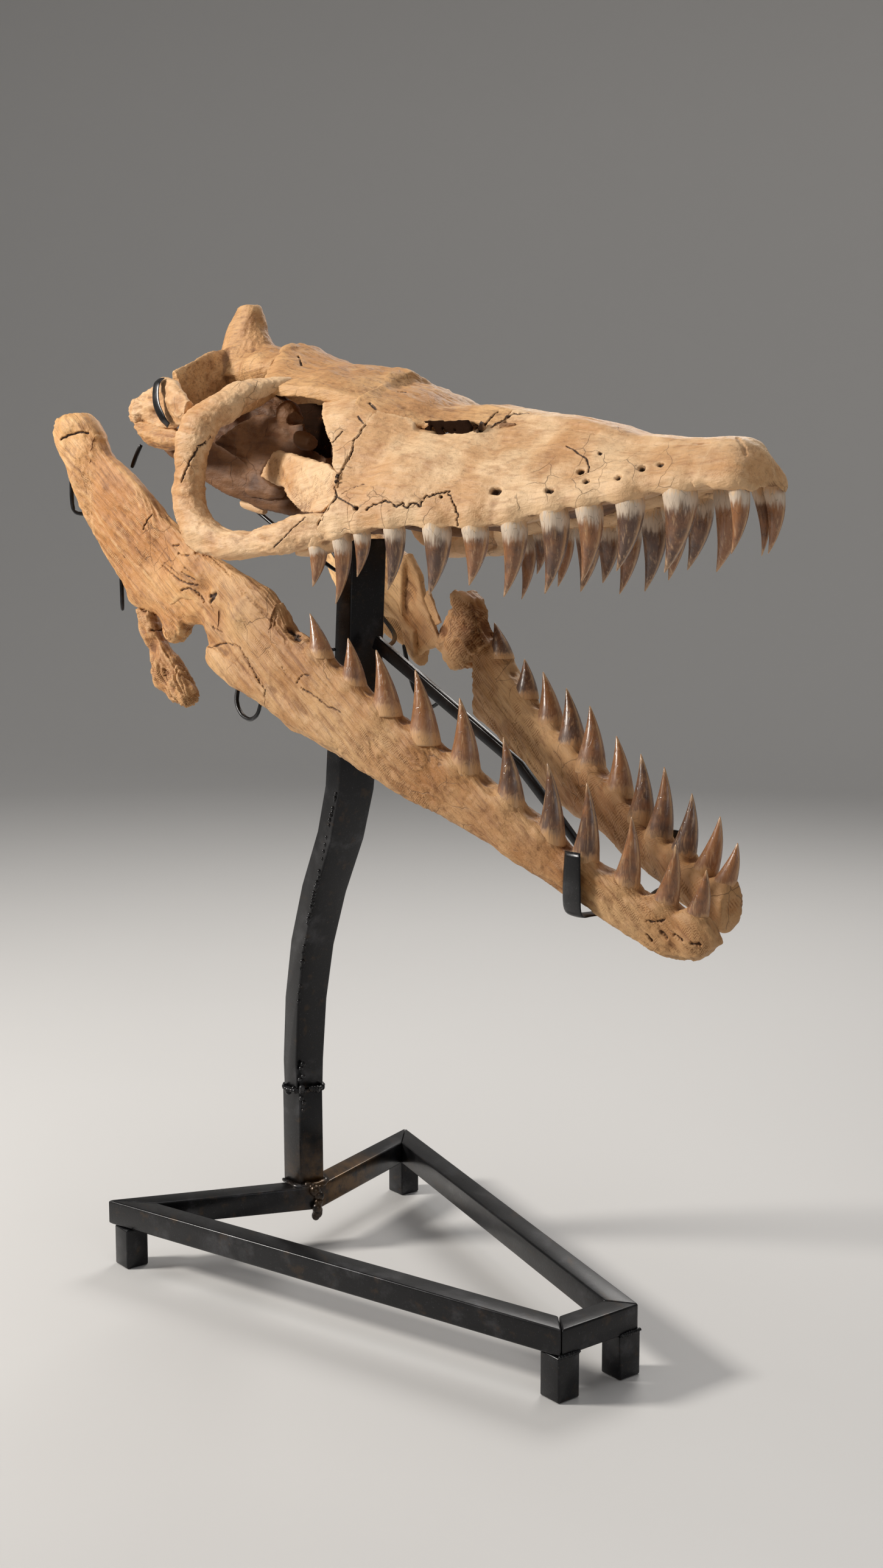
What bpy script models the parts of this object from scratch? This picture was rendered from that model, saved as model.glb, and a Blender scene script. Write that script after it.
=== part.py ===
"""Mosasaur skull with its jaws agape, on the welded steel stand that carries it.

Lengths are metres and +Z is up. Inside the empty "mosasaur_mount" the snout points along +X, the
animal's right side is -Y, the floor is Z = 0, and X = 0 lies between the two wing tips of the stand.
"""

import math
from dataclasses import dataclass

import bmesh
import bpy
import numpy as np
from mathutils import Vector

# ---- driving dimensions ------------------------------------------------------------------------
GAP = 0.0004  # air left between two pieces that touch
MOUNT_SHIFT = -0.2790  # moves the middle of the whole mount over the origin

# Skull roof and snout, as (x, z) along the midline
ROOF_REAR = 0.074
ROOF_STEP = 0.262
SEAM_CHEEK = 0.286  # where prefrontal and jugal meet the maxilla
SEAM_NOSE = 0.664  # where the maxillae meet the premaxilla
SNOUT_TIP = 0.710
ROOF_LINE = ((0.040, 0.938), (0.074, 0.944), (0.083, 0.943), (0.106, 0.934), (0.140, 0.923),
             (0.200, 0.915), (0.262, 0.904), (0.267, 0.893), (0.292, 0.887), (0.319, 0.878),
             (0.345, 0.868), (0.400, 0.865), (0.450, 0.857), (0.529, 0.844), (0.582, 0.832),
             (0.650, 0.827), (0.682, 0.825), (0.698, 0.815), (0.706, 0.803), (0.710, 0.790))
CREST = ((0.262, 0.014), (0.267, 0.004), (0.292, 0.005), (0.319, 0.004), (0.345, 0.001),
         (0.400, 0.000))  # how far the midline stands above the line that the sides slope down from
CREST_SPREAD = 0.35  # the share of the crest that is left half way to the shoulder
TOOTH_MARGIN = ((0.240, 0.742), (0.265, 0.741), (0.308, 0.750), (0.369, 0.758), (0.438, 0.757),
                (0.484, 0.760), (0.521, 0.769), (0.584, 0.777), (0.640, 0.785), (0.698, 0.785),
                (0.710, 0.779))
HALF_WIDTH = ((0.240, 0.128), (0.265, 0.125), (0.308, 0.117), (0.369, 0.107), (0.438, 0.088),
              (0.484, 0.075), (0.521, 0.066), (0.584, 0.051), (0.640, 0.037), (0.680, 0.032),
              (0.698, 0.026), (0.710, 0.015))
SHOULDER = ((0.240, 0.068), (0.262, 0.064), (0.300, 0.056), (0.345, 0.040), (0.400, 0.031),
            (0.450, 0.027), (0.530, 0.025), (0.600, 0.022), (0.664, 0.021), (0.694, 0.015),
            (0.710, 0.006))
SHOULDER_DROP = ((0.240, 0.020), (0.262, 0.014), (0.345, 0.011), (0.450, 0.012), (0.600, 0.010),
                 (0.710, 0.006))
BONE_SHELL = 0.010
ROOF_DEPTH = 0.012
TABLE_DEPTH = 0.024  # the frontal between the eyes
CHEEK_DEPTH = 0.012
TOOTH_SHELF = 0.030
MARGIN_THICKNESS = 0.012
SHELF_RISE = 0.024  # how far up the inner face of the maxilla starts above its tooth margin
NASAL_FLOOR_EDGE = 0.26  # edge of the roof strip where it runs into the nose
NASAL_FLOOR_START = 0.640
FACE_REAR = 0.240  # the cheek's lines are level behind this

# Where each bone's edge runs, as a share of the way from the midline down to the tooth margin
NASAL_EDGE = ((0.262, 0.38), (0.300, 0.41), (0.330, 0.41), (0.400, 0.39), (0.425, 0.39),
              (0.450, 0.36), (0.664, 0.296))
MAXILLA_EDGE = ((0.262, 0.386), (0.300, 0.418), (0.312, 0.45), (0.326, 0.48), (0.392, 0.48),
                (0.412, 0.45), (0.432, 0.394), (0.450, 0.369), (0.664, 0.309))
FRONTAL_HALF = ((0.074, 0.030), (0.088, 0.044), (0.108, 0.063), (0.135, 0.077), (0.190, 0.073),
                (0.225, 0.068), (0.262, 0.063))
FRONTAL_RIM = ((0.074, 0.924), (0.088, 0.916), (0.108, 0.904), (0.135, 0.895), (0.190, 0.890),
               (0.225, 0.884), (0.262, 0.876))
TABLE_BULGE = ((0.190, 0.66), (0.262, 0.42))  # height of the table's slope at 0.62 of its half width
ORBIT_FRONT = ((0.38, 0.218), (0.50, 0.246), (0.62, 0.262), (0.74, 0.272), (0.88, 0.272))

# Lower jaw, as (x, value) along one side
JAW_TOP = ((-0.152, 0.868), (-0.145, 0.877), (-0.118, 0.878), (-0.094, 0.864), (-0.076, 0.840),
           (-0.012, 0.797), (0.026, 0.766), (0.098, 0.731), (0.180, 0.702), (0.201, 0.690),
           (0.222, 0.666), (0.242, 0.658), (0.323, 0.615), (0.367, 0.593), (0.455, 0.543),
           (0.488, 0.526), (0.534, 0.495), (0.575, 0.477), (0.642, 0.453), (0.668, 0.448),
           (0.679, 0.436))
JAW_BOTTOM = ((-0.152, 0.862), (-0.145, 0.846), (-0.119, 0.803), (-0.107, 0.776), (-0.090, 0.749),
              (-0.056, 0.711), (-0.030, 0.682), (0.040, 0.656), (0.083, 0.634), (0.145, 0.608),
              (0.194, 0.585), (0.220, 0.572), (0.280, 0.556), (0.353, 0.529), (0.456, 0.490),
              (0.517, 0.462), (0.566, 0.440), (0.606, 0.422), (0.638, 0.411), (0.660, 0.413),
              (0.679, 0.427))
JAW_MIDDLE = ((-0.152, 0.147), (-0.020, 0.131), (0.060, 0.122), (0.150, 0.116), (0.264, 0.109),
              (0.304, 0.104), (0.347, 0.098), (0.393, 0.087), (0.434, 0.074), (0.482, 0.064),
              (0.525, 0.052), (0.563, 0.042), (0.606, 0.033), (0.644, 0.024), (0.679, 0.018))
JAW_HALF_THICK = ((-0.152, 0.008), (-0.142, 0.018), (-0.110, 0.019), (-0.080, 0.013),
                  (0.100, 0.012), (0.200, 0.014), (0.350, 0.015), (0.600, 0.014), (0.665, 0.013),
                  (0.679, 0.007))
LEFT_JAW_LIFT = ((0.200, 0.000), (0.245, -0.004), (0.310, -0.022), (0.360, -0.023),
                 (0.448, -0.007), (0.519, 0.003), (0.570, 0.012), (0.640, 0.018), (0.679, 0.014))
LEFT_TOOTH_SETBACK = ((0.480, 0.000), (0.560, 0.005), (0.600, 0.008), (0.660, 0.013))
LEFT_KNOB_TOP = ((0.171, 0.668), (0.190, 0.692), (0.212, 0.694), (0.230, 0.672))
LEFT_KNOB_BOTTOM = ((0.171, 0.652), (0.189, 0.634), (0.230, 0.584))
LEFT_BREAK_TOP = ((0.098, 0.733), (0.106, 0.733), (0.126, 0.700), (0.162, 0.646))
SEAM_ARTICULAR = -0.088
SEAM_DENTARY = 0.206
SEAM_CORONOID = 0.120
SEAM_LEFT_KNOB = 0.230
LEFT_JAW_TIP = 0.657
LEFT_TOOTH_WEAR = 0.005
ANGULAR_SHARE = 0.36  # the angular is the jaw's lower edge, up to this share of its depth
ANGULAR_GAP = 0.016  # the share left open above it, which is GAP or more everywhere

# Teeth: place along the row, how far the tip drops, how far it leans back, half the base width
UPPER_TEETH = ((0.271, 0.038, 0.007, 0.0095), (0.300, 0.060, 0.008, 0.0095),
               (0.325, 0.040, 0.006, 0.0085), (0.364, 0.056, 0.008, 0.0105),
               (0.409, 0.059, 0.009, 0.0135), (0.447, 0.050, 0.006, 0.0125),
               (0.485, 0.062, 0.011, 0.0120), (0.524, 0.068, 0.009, 0.0130),
               (0.557, 0.062, 0.006, 0.0120), (0.595, 0.058, 0.013, 0.0125),
               (0.639, 0.065, 0.014, 0.0145))
NOSE_TEETH = ((0.6725, 0.052, -0.004, 0.0065), (0.6925, 0.050, 0.005, 0.0115))
LOWER_TEETH = ((0.265, 0.033, 0.014, 0.0115), (0.308, 0.036, 0.005, 0.0120),
               (0.350, 0.048, 0.013, 0.0130), (0.391, 0.054, 0.010, 0.0140),
               (0.431, 0.055, 0.004, 0.0140), (0.480, 0.050, 0.007, 0.0125),
               (0.520, 0.058, 0.003, 0.0120), (0.552, 0.062, -0.004, 0.0125),
               (0.592, 0.054, -0.008, 0.0120), (0.628, 0.049, -0.014, 0.0115),
               (0.657, 0.038, -0.013, 0.0105))
TOOTH_INSET = 0.0085
TOOTH_SIDES = 6
TOOTH_FLATNESS = 0.86
UPPER_ROOT, LOWER_ROOT = 0.10, 0.22  # how deep a root goes into the bone, as a share of its crown
UPPER_BOW, LOWER_BOW = 0.10, 0.06  # how far a crown bows forward, as a share of its height
CROWN_TAPER = ((0.06, 1.00), (0.45, 0.78), (0.78, 0.42), (1.00, 0.07))  # (share of height, width)

# Stand
TUBE = 0.025
FRAME_TOP = 0.067
WING_HALF = 0.194
NOSE_HALF = 0.0495
FRAME_LENGTH = 0.531
NOTCH_X = 0.084
POST_SIZE = 0.030
POST_FOOT_X = 0.070
POST_DEPTH = 0.024
LEG_INSET = 0.016  # from a wing's tip to the middle of its leg
WING_X = 0.013
HEAD_DEPTH = 0.024
POST_BEND = ((0.071, 0.1714), (0.071, 0.200), (0.077, 0.268), (0.090, 0.330), (0.112, 0.390),
             (0.142, 0.450), (0.158, 0.500), (0.164, 0.552))
HEAD_TOP_Z = 0.748
ROD = 0.0026
ROD_UP = (0.31, 0.22, 0.92)  # a direction that no rod runs along
BAND_X = 0.556  # the flat band that carries both halves of the lower jaw

BONE = (0.62, 0.43, 0.25)
BONE_PALE = (0.70, 0.52, 0.33)
BONE_BROWN = (0.50, 0.31, 0.16)
STEEL = (0.018, 0.017, 0.016)
SIDES = (("right", -1.0), ("left", 1.0))


class Profile:
    """A smooth value along one axis, through a few named (place, value) knots."""

    def __init__(self, knots):
        self.at, self.values = np.array(sorted(knots)).T
        step = np.diff(self.at)
        slope = np.diff(self.values) / step
        inner = np.where(slope[1:] * slope[:-1] > 0, 2 * slope[1:] * slope[:-1], 0.0)
        total = slope[1:] + slope[:-1]
        inner = np.divide(inner, total, out=np.zeros_like(inner), where=abs(total) > 1e-9)
        self.slopes = np.concatenate([slope[:1], inner, slope[-1:]])

    def __call__(self, place):
        place = float(np.clip(place, self.at[0], self.at[-1]))
        i = int(np.clip(np.searchsorted(self.at, place) - 1, 0, len(self.at) - 2))
        width = self.at[i + 1] - self.at[i]
        t = (place - self.at[i]) / width
        a = (1 + 2 * t) * (1 - t) ** 2 * self.values[i] + t * t * (3 - 2 * t) * self.values[i + 1]
        b = t * (1 - t) ** 2 * self.slopes[i] - t * t * (1 - t) * self.slopes[i + 1]
        return float(a + b * width)


roof_line = Profile(ROOF_LINE)
crest = Profile(CREST)
tooth_margin = Profile(TOOTH_MARGIN)
half_width = Profile(HALF_WIDTH)
shoulder = Profile(SHOULDER)
shoulder_drop = Profile(SHOULDER_DROP)
nasal_edge = Profile(NASAL_EDGE)
maxilla_edge = Profile(MAXILLA_EDGE)
frontal_half = Profile(FRONTAL_HALF)
frontal_rim = Profile(FRONTAL_RIM)
table_bulge = Profile(TABLE_BULGE)
orbit_front = Profile(ORBIT_FRONT)
jaw_top = Profile(JAW_TOP)
jaw_bottom = Profile(JAW_BOTTOM)
jaw_middle = Profile(JAW_MIDDLE)
jaw_half_thick = Profile(JAW_HALF_THICK)
left_jaw_lift = Profile(LEFT_JAW_LIFT)
left_tooth_setback = Profile(LEFT_TOOTH_SETBACK)
no_lift = Profile(((-1.0, 0.0), (1.0, 0.0)))


# ---- making solids -----------------------------------------------------------------------------
def clear_scene():
    for obj in list(bpy.data.objects):
        bpy.data.objects.remove(obj, do_unlink=True)


def principled(name, colour, roughness, metallic=0.0):
    material = bpy.data.materials.get(name)
    if material is None:
        material = bpy.data.materials.new(name)
        material.use_nodes = True
        shader = material.node_tree.nodes["Principled BSDF"]
        shader.inputs["Base Color"].default_value = (*colour, 1.0)
        shader.inputs["Roughness"].default_value = roughness
        shader.inputs["Metallic"].default_value = metallic
        material.diffuse_color = (*colour, 1.0)
    return material


def add_object(name, mesh_builder, material, mount):
    mesh = bpy.data.meshes.new(name)
    bmesh.ops.recalc_face_normals(mesh_builder, faces=mesh_builder.faces)
    mesh_builder.to_mesh(mesh)
    mesh_builder.free()
    mesh.materials.append(material)
    obj = bpy.data.objects.new(name, mesh)
    obj.parent = mount
    bpy.context.scene.collection.objects.link(obj)
    return obj


def add_loft(builder, rings):
    """Joins rings of equal length into one closed tube with flat ends."""
    rows = [[builder.verts.new(point) for point in ring] for ring in rings]
    count = len(rows[0])
    for near, far in zip(rows, rows[1:]):
        for i in range(count):
            j = (i + 1) % count
            builder.faces.new((near[i], near[j], far[j], far[i]))
    builder.faces.new(rows[0])
    builder.faces.new(list(reversed(rows[-1])))


def loft(name, rings, material, mount):
    builder = bmesh.new()
    add_loft(builder, rings)
    return add_object(name, builder, material, mount)


def unite(obj, helpers):
    """Welds helper solids into obj with live Boolean unions."""
    for helper in helpers:
        helper.hide_render = True
        helper.display_type = "WIRE"
        weld = obj.modifiers.new("weld " + helper.name, "BOOLEAN")
        weld.operation = "UNION"
        weld.solver = "EXACT"
        weld.object = helper


def bar_rings(stations, sides=8, up=(0.0, 0.0, 1.0)):
    """Oval rings along a path. A station is (x, y, z, half width sideways, half height)."""
    centres = [Vector(s[:3]) for s in stations]
    rings = []
    for i, station in enumerate(stations):
        along = (centres[min(i + 1, len(centres) - 1)] - centres[max(i - 1, 0)]).normalized()
        across = along.cross(Vector(up)).normalized()
        above = across.cross(along).normalized()
        ring = []
        for k in range(sides):
            turn = 2 * math.pi * (k + 0.5) / sides
            ring.append(centres[i] + across * math.cos(turn) * station[3]
                        + above * math.sin(turn) * station[4])
        rings.append(ring)
    return rings


def mirrored(rings, side):
    return [[(p[0], p[1] * side, p[2]) for p in ring] for ring in rings]


# ---- the face ----------------------------------------------------------------------------------
def face_point(x, share):
    """(y, z) on one cheek at x: share 0 is the midline of the roof, 1 the tooth margin."""
    top, low = roof_line(x), tooth_margin(x)
    side = top - crest(x)
    wide, ridge, drop = half_width(x), shoulder(x), shoulder_drop(x)
    knots_y = ((0.0, 0.0), (0.18, 0.55 * ridge), (0.36, ridge),
               (0.66, ridge + 0.74 * (wide - ridge)), (0.90, wide + 0.002), (1.0, wide))
    knots_z = ((0.0, top), (0.18, side + CREST_SPREAD * (top - side) - 0.15 * drop), (0.36, side - drop),
               (0.66, low + 0.45 * (side - low)), (0.90, low + 0.13 * (side - low)), (1.0, low))
    return Profile(knots_y)(share), Profile(knots_z)(share)


def inward(x, share, depth):
    """The same place as face_point, sunk into the bone by depth."""
    step = 0.03
    ahead, behind = face_point(x, min(share + step, 1.0)), face_point(x, max(share - step, 0.0))
    run, rise = ahead[0] - behind[0], ahead[1] - behind[1]
    size = math.hypot(run, rise)
    y, z = face_point(x, share)
    return y + rise / size * depth, z - run / size * depth


def across_midline(x, outer, inner):
    """Closed ring from two half outlines, (y, z) from the bone's edge to the midline."""
    top = outer + [(-y, z) for y, z in reversed(outer[:-1])]
    under = inner + [(-y, z) for y, z in reversed(inner[:-1])]
    return [(x, y, z) for y, z in top + list(reversed(under))]


def roof_strip(x, edge, depth):
    """Ring of a roof bone that spans the midline, out to edge on both sides."""
    shares = (edge, 0.62 * edge, 0.0)
    outer = [face_point(x, share) for share in shares]
    return across_midline(x, outer, [inward(x, share, depth) for share in shares])


def maxilla_ring(x, side):
    edge = maxilla_edge(x)
    shares = [edge + (1.0 - edge) * f for f in (0.0, 0.3, 0.62, 0.88, 1.0)]
    outer = [face_point(x, s) for s in shares]
    wide, low = face_point(x, 1.0)
    shelf = max(wide - TOOTH_SHELF, 0.005)
    inner = [inward(x, s, BONE_SHELL) for s in shares[:2]]
    inner = [(max(y, 0.004), z) for y, z in inner]
    corner = max(shelf, min(wide - MARGIN_THICKNESS, inner[1][0] - 0.004))
    ledge = [(corner, low + SHELF_RISE), (shelf, low + 0.008), (shelf + 0.004, low + 0.001)]
    ring = outer + list(reversed(ledge)) + list(reversed(inner))
    return [(x, y * side, z) for y, z in ring]


def row_y(x):
    return half_width(x) - TOOTH_INSET


@dataclass
class Tooth:
    """One crown and its root: middle of the base, tip, and half width of the base."""

    base: Vector
    tip: Vector
    radius: float

    def add_to(self, builder):
        axis = self.tip - self.base
        root, bow = (UPPER_ROOT, UPPER_BOW) if axis.z < 0 else (LOWER_ROOT, LOWER_BOW)
        forward, outward = Vector((1.0, 0.0, 0.0)), Vector((0.0, TOOTH_FLATNESS, 0.0))
        turns = [2 * math.pi * k / TOOTH_SIDES for k in range(TOOTH_SIDES)]
        rings = []
        for share, size in ((-root, 0.90),) + CROWN_TAPER:
            bowed = max(4 * share * (1 - share), 0.0) * bow * axis.length
            centre = self.base + axis * share + forward * bowed
            rings.append([centre + (forward * math.cos(a) + outward * math.sin(a)) * self.radius * size
                          for a in turns])
        add_loft(builder, rings)


def teeth_object(name, teeth, material, mount):
    builder = bmesh.new()
    for tooth in teeth:
        tooth.add_to(builder)
    return add_object(name, builder, material, mount)


def upper_teeth(rows, side):
    teeth = []
    for x, drop, lean, radius in rows:
        base = Vector((x, side * row_y(x), tooth_margin(x) + 0.001))
        tip = base + Vector((-lean, side * 0.001, -drop))
        teeth.append(Tooth(base, tip, radius))
    return teeth


def build_maxilla(label, side, mount):
    stations = (SEAM_CHEEK, 0.300, 0.322, 0.345, 0.390, 0.412, 0.434, 0.470, 0.510, 0.550, 0.600,
                0.640, SEAM_NOSE)
    bone = principled("maxilla_bone", BONE_PALE, 0.62)
    rings = [maxilla_ring(x, side) for x in stations]
    maxilla = loft("maxilla_" + label, rings, bone, mount)
    heel = [(0.300, 0.104, 0.752, 0.011, 0.006), (0.275, 0.109, 0.740, 0.011, 0.006),
            (0.250, 0.114, 0.736, 0.009, 0.005), (0.240, 0.116, 0.735, 0.005, 0.003)]
    heel_object = loft("maxilla_heel_" + label, mirrored(bar_rings(heel), side), bone, mount)
    teeth = teeth_object("teeth_maxilla_" + label, upper_teeth(UPPER_TEETH, side), bone, mount)
    unite(maxilla, [heel_object, teeth])


def build_premaxilla(mount):
    bone = principled("premaxilla_bone", BONE_PALE, 0.60)
    rings = []
    for x in (SEAM_NOSE + 2 * GAP, 0.678, 0.690, 0.699, 0.705, 0.709, SNOUT_TIP):
        outer = [face_point(x, share) for share in (0.0, 0.22, 0.42, 0.66, 0.9, 1.0)]
        low = tooth_margin(x) + 0.004
        half = outer + [(0.6 * outer[-1][0], low)]
        other = [(-y, z) for y, z in reversed(half[1:])]
        rings.append([(x, y, z) for y, z in half + [(0.0, low)] + other])
    nose = loft("premaxilla", rings, bone, mount)
    bar_stations = (0.4258, 0.450, 0.500, 0.550, 0.600, 0.640, 0.672)
    bar = [roof_strip(x, nasal_edge(x) if x < NASAL_FLOOR_START else NASAL_FLOOR_EDGE, BONE_SHELL)
           for x in bar_stations]
    helpers = [loft("premaxilla_bar", bar, bone, mount)]
    for label, side in SIDES:
        rows = NOSE_TEETH if side > 0 else NOSE_TEETH[1:]
        helpers.append(teeth_object("teeth_premaxilla_" + label, upper_teeth(rows, side), bone, mount))
    unite(nose, helpers)


def frontal_ring(x):
    half, rim, top = frontal_half(x), frontal_rim(x), roof_line(x)
    outer = [(half, rim), (0.62 * half, rim + table_bulge(x) * (top - rim)), (0.0, top)]
    inner = [(half - 0.003, rim - 0.010), (0.62 * half, rim - 0.008), (0.0, top - TABLE_DEPTH)]
    return across_midline(x, outer, inner)


def build_frontal(mount):
    bone = principled("frontal_bone", BONE, 0.66)
    rings = [frontal_ring(x) for x in (ROOF_REAR, 0.088, 0.108, 0.135, 0.165, 0.200, 0.235, ROOF_STEP)]
    rings += [roof_strip(x, nasal_edge(x), ROOF_DEPTH)
              for x in (ROOF_STEP + 0.004, 0.300, 0.345, 0.390, 0.425)]
    loft("frontal", rings, bone, mount)


def build_prefrontal(label, side, mount):
    """The strip of cheek between the orbit and the maxilla, with its inner wall."""
    bone = principled("prefrontal_bone", BONE_PALE, 0.64)
    rings = []
    for share in (0.44, 0.52, 0.62, 0.70, 0.765):
        rear, front = orbit_front(share), SEAM_CHEEK - GAP
        middle = 0.5 * (rear + front)
        places = [(x, *face_point(max(x, FACE_REAR), share)) for x in (rear, middle, front)]
        sunk = [(front, *inward(front, share, CHEEK_DEPTH)),
                (rear + 0.004, *inward(max(rear, FACE_REAR), share, CHEEK_DEPTH))]
        rings.append([(x, y * side, z) for x, y, z in places + sunk])
    loft("prefrontal_" + label, rings, bone, mount)


def build_jugal(label, side, mount):
    """The L-shaped bar under and behind the orbit. Its rings run in the upright plane of the bar."""
    bone = principled("jugal_bone", BONE_PALE, 0.60)
    stations = [(0.2770, 0.1180, 0.761, 0.010, 0.006), (0.255, 0.1235, 0.7585, 0.012, 0.008),
                (0.217, 0.131, 0.7495, 0.0125, 0.010), (0.1625, 0.139, 0.742, 0.012, 0.011),
                (0.130, 0.141, 0.7465, 0.0145, 0.012), (0.104, 0.142, 0.764, 0.018, 0.013),
                (0.0925, 0.142, 0.787, 0.0195, 0.013), (0.0935, 0.141, 0.815, 0.019, 0.013),
                (0.098, 0.139, 0.840, 0.0195, 0.013)]
    loft("jugal_" + label, mirrored(bar_rings(stations, up=(0.0, 1.0, 0.0)), side), bone, mount)


def build_postorbital(label, side, mount):
    bone = principled("postorbital_bone", BONE, 0.64)
    stations = [(0.0975, 0.138, 0.848, 0.010, 0.020), (0.100, 0.131, 0.860, 0.014, 0.022),
                (0.112, 0.112, 0.875, 0.013, 0.021), (0.123, 0.098, 0.885, 0.011, 0.017),
                (0.129, 0.091, 0.889, 0.008, 0.013)]
    loft("postorbital_" + label, mirrored(bar_rings(stations, up=(1.0, 0.0, 0.0)), side), bone, mount)


def build_parietal(mount):
    bone = principled("parietal_bone", BONE, 0.66)
    table = bar_rings([(ROOF_REAR - GAP, 0.0, 0.918, 0.034, 0.015), (0.045, 0.0, 0.918, 0.038, 0.020),
                       (0.010, 0.0, 0.922, 0.034, 0.026), (-0.030, 0.0, 0.925, 0.030, 0.026),
                       (-0.060, 0.0, 0.920, 0.024, 0.022)])
    parietal = loft("parietal", table, bone, mount)
    peak = bar_rings([(-0.018, 0.0, 0.915, 0.036, 0.056), (-0.018, 0.0, 0.940, 0.028, 0.044),
                      (-0.018, 0.0, 0.960, 0.018, 0.031), (-0.016, 0.0, 0.981, 0.013, 0.019),
                      (-0.016, 0.0, 0.9905, 0.008, 0.012)], up=(1.0, 0.0, 0.0))
    helpers = [loft("parietal_peak", peak, bone, mount)]
    for label, side in SIDES:
        wing = [(-0.024, 0.000, 0.925, 0.012, 0.024), (-0.022, 0.030, 0.918, 0.009, 0.027),
                (-0.016, 0.060, 0.906, 0.007, 0.026), (-0.012, 0.088, 0.898, 0.007, 0.022)]
        helpers.append(loft("parietal_wing_" + label, mirrored(bar_rings(wing), side), bone, mount))
    unite(parietal, helpers)


def build_squamosal(label, side, mount):
    """The arch behind the postorbital, out to the knob that carries the quadrate."""
    bone = principled("squamosal_bone", BONE_PALE, 0.64)
    stations = [(0.070, 0.131, 0.872, 0.006, 0.010), (0.054, 0.126, 0.876, 0.008, 0.018),
                (0.028, 0.119, 0.880, 0.010, 0.025), (0.000, 0.113, 0.883, 0.013, 0.027),
                (-0.028, 0.111, 0.880, 0.015, 0.021), (-0.046, 0.112, 0.876, 0.014, 0.015),
                (-0.062, 0.112, 0.874, 0.008, 0.008)]
    loft("squamosal_" + label, mirrored(bar_rings(stations), side), bone, mount)


def build_quadrate(label, side, mount):
    bone = principled("quadrate_bone", BONE, 0.66)
    stations = [(-0.046, 0.110, 0.850, 0.010, 0.005), (-0.032, 0.110, 0.846, 0.013, 0.008),
                (-0.010, 0.111, 0.842, 0.013, 0.010), (0.018, 0.111, 0.839, 0.011, 0.011),
                (0.040, 0.111, 0.840, 0.006, 0.008)]
    loft("quadrate_" + label, mirrored(bar_rings(stations), side), bone, mount)


def build_braincase(mount):
    bone = principled("braincase_bone", BONE_BROWN, 0.72)
    stations = [(-0.085, 0.0, 0.846, 0.014, 0.014), (-0.062, 0.0, 0.848, 0.019, 0.020),
                (-0.045, 0.0, 0.862, 0.034, 0.034), (-0.010, 0.0, 0.862, 0.038, 0.036),
                (0.030, 0.0, 0.858, 0.030, 0.036), (0.060, 0.0, 0.845, 0.018, 0.026),
                (0.110, 0.0, 0.824, 0.008, 0.012), (0.190, 0.0, 0.812, 0.005, 0.007)]
    loft("braincase", bar_rings(stations), bone, mount)


def build_palate(mount):
    bone = principled("palate_bone", BONE_BROWN, 0.70)
    vomer = [(x, 0.0, tooth_margin(x) + 0.014, 0.011 - 0.020 * (x - 0.300), 0.006)
             for x in (0.300, 0.345, 0.420, 0.500, 0.580, 0.6625)]
    loft("vomer", bar_rings(vomer, sides=6), bone, mount)
    for label, side in SIDES:
        rings = []
        for x in (0.286, 0.345, 0.420, 0.480, 0.540):
            inner, outer = 0.022 if x < 0.4 else 0.014, half_width(x) - TOOTH_SHELF - 0.001
            level = tooth_margin(x) + 0.010
            corners = ((inner, 0.010), (outer, 0.006), (outer, -0.002), (inner, 0.002))
            rings.append([(x, y * side, level + rise) for y, rise in corners])
        loft("palatine_" + label, rings, bone, mount)
        # The plate that reaches back into the orbit's floor from the cheek
        plate = [(0.252, 0.094, 0.793, 0.008, 0.023), (0.235, 0.092, 0.796, 0.010, 0.025),
                 (0.200, 0.086, 0.804, 0.010, 0.021), (0.160, 0.074, 0.816, 0.010, 0.017),
                 (0.125, 0.063, 0.823, 0.009, 0.012), (0.108, 0.059, 0.819, 0.005, 0.006)]
        loft("ectopterygoid_" + label, mirrored(bar_rings(plate), side), bone, mount)
        wing = [(0.285, 0.040, 0.757, 0.014, 0.006), (0.220, 0.042, 0.762, 0.020, 0.008),
                (0.150, 0.046, 0.776, 0.014, 0.010), (0.095, 0.056, 0.793, 0.008, 0.016),
                (0.040, 0.072, 0.818, 0.005, 0.020), (0.000, 0.084, 0.838, 0.005, 0.018),
                (-0.035, 0.090, 0.850, 0.004, 0.012)]
        loft("pterygoid_" + label, mirrored(bar_rings(wing), side), bone, mount)


# ---- the lower jaw -----------------------------------------------------------------------------
@dataclass
class Jaw:
    """One ramus: its side and how far each place is lifted from the right one's line."""

    side: float
    lift: Profile

    def ring(self, x, low=0.0, high=1.0, top=None, bottom=None):
        """Ring at x between two shares of the depth. The jaw's own edges apply unless given."""
        bottom = jaw_bottom(x) + self.lift(x) if bottom is None else bottom
        top = jaw_top(x) + self.lift(x) if top is None else top
        middle, thick = jaw_middle(x), jaw_half_thick(x)
        outer, inner = [], []
        for step in (0.0, 0.22, 0.5, 0.8, 1.0):
            share = low + step * (high - low)
            bulge = max(1 - abs(2 * share - 1) ** 3, 0.0) ** 0.5
            out = (0.35 + 0.65 * bulge) * thick
            z = bottom + (top - bottom) * share
            outer.append((x, (middle + out) * self.side, z))
            inner.append((x, (middle - out) * self.side, z))
        return outer + list(reversed(inner))

    def teeth(self):
        teeth = []
        for place, rise, lean, radius in LOWER_TEETH:
            x = place
            if self.side > 0:
                x, rise = place - left_tooth_setback(place), rise - LEFT_TOOTH_WEAR
            base = Vector((x, self.side * jaw_middle(x), jaw_top(x) + self.lift(x) - 0.002))
            teeth.append(Tooth(base, base + Vector((-lean, self.side * 0.002, rise + 0.002)), radius))
        return teeth


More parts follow.
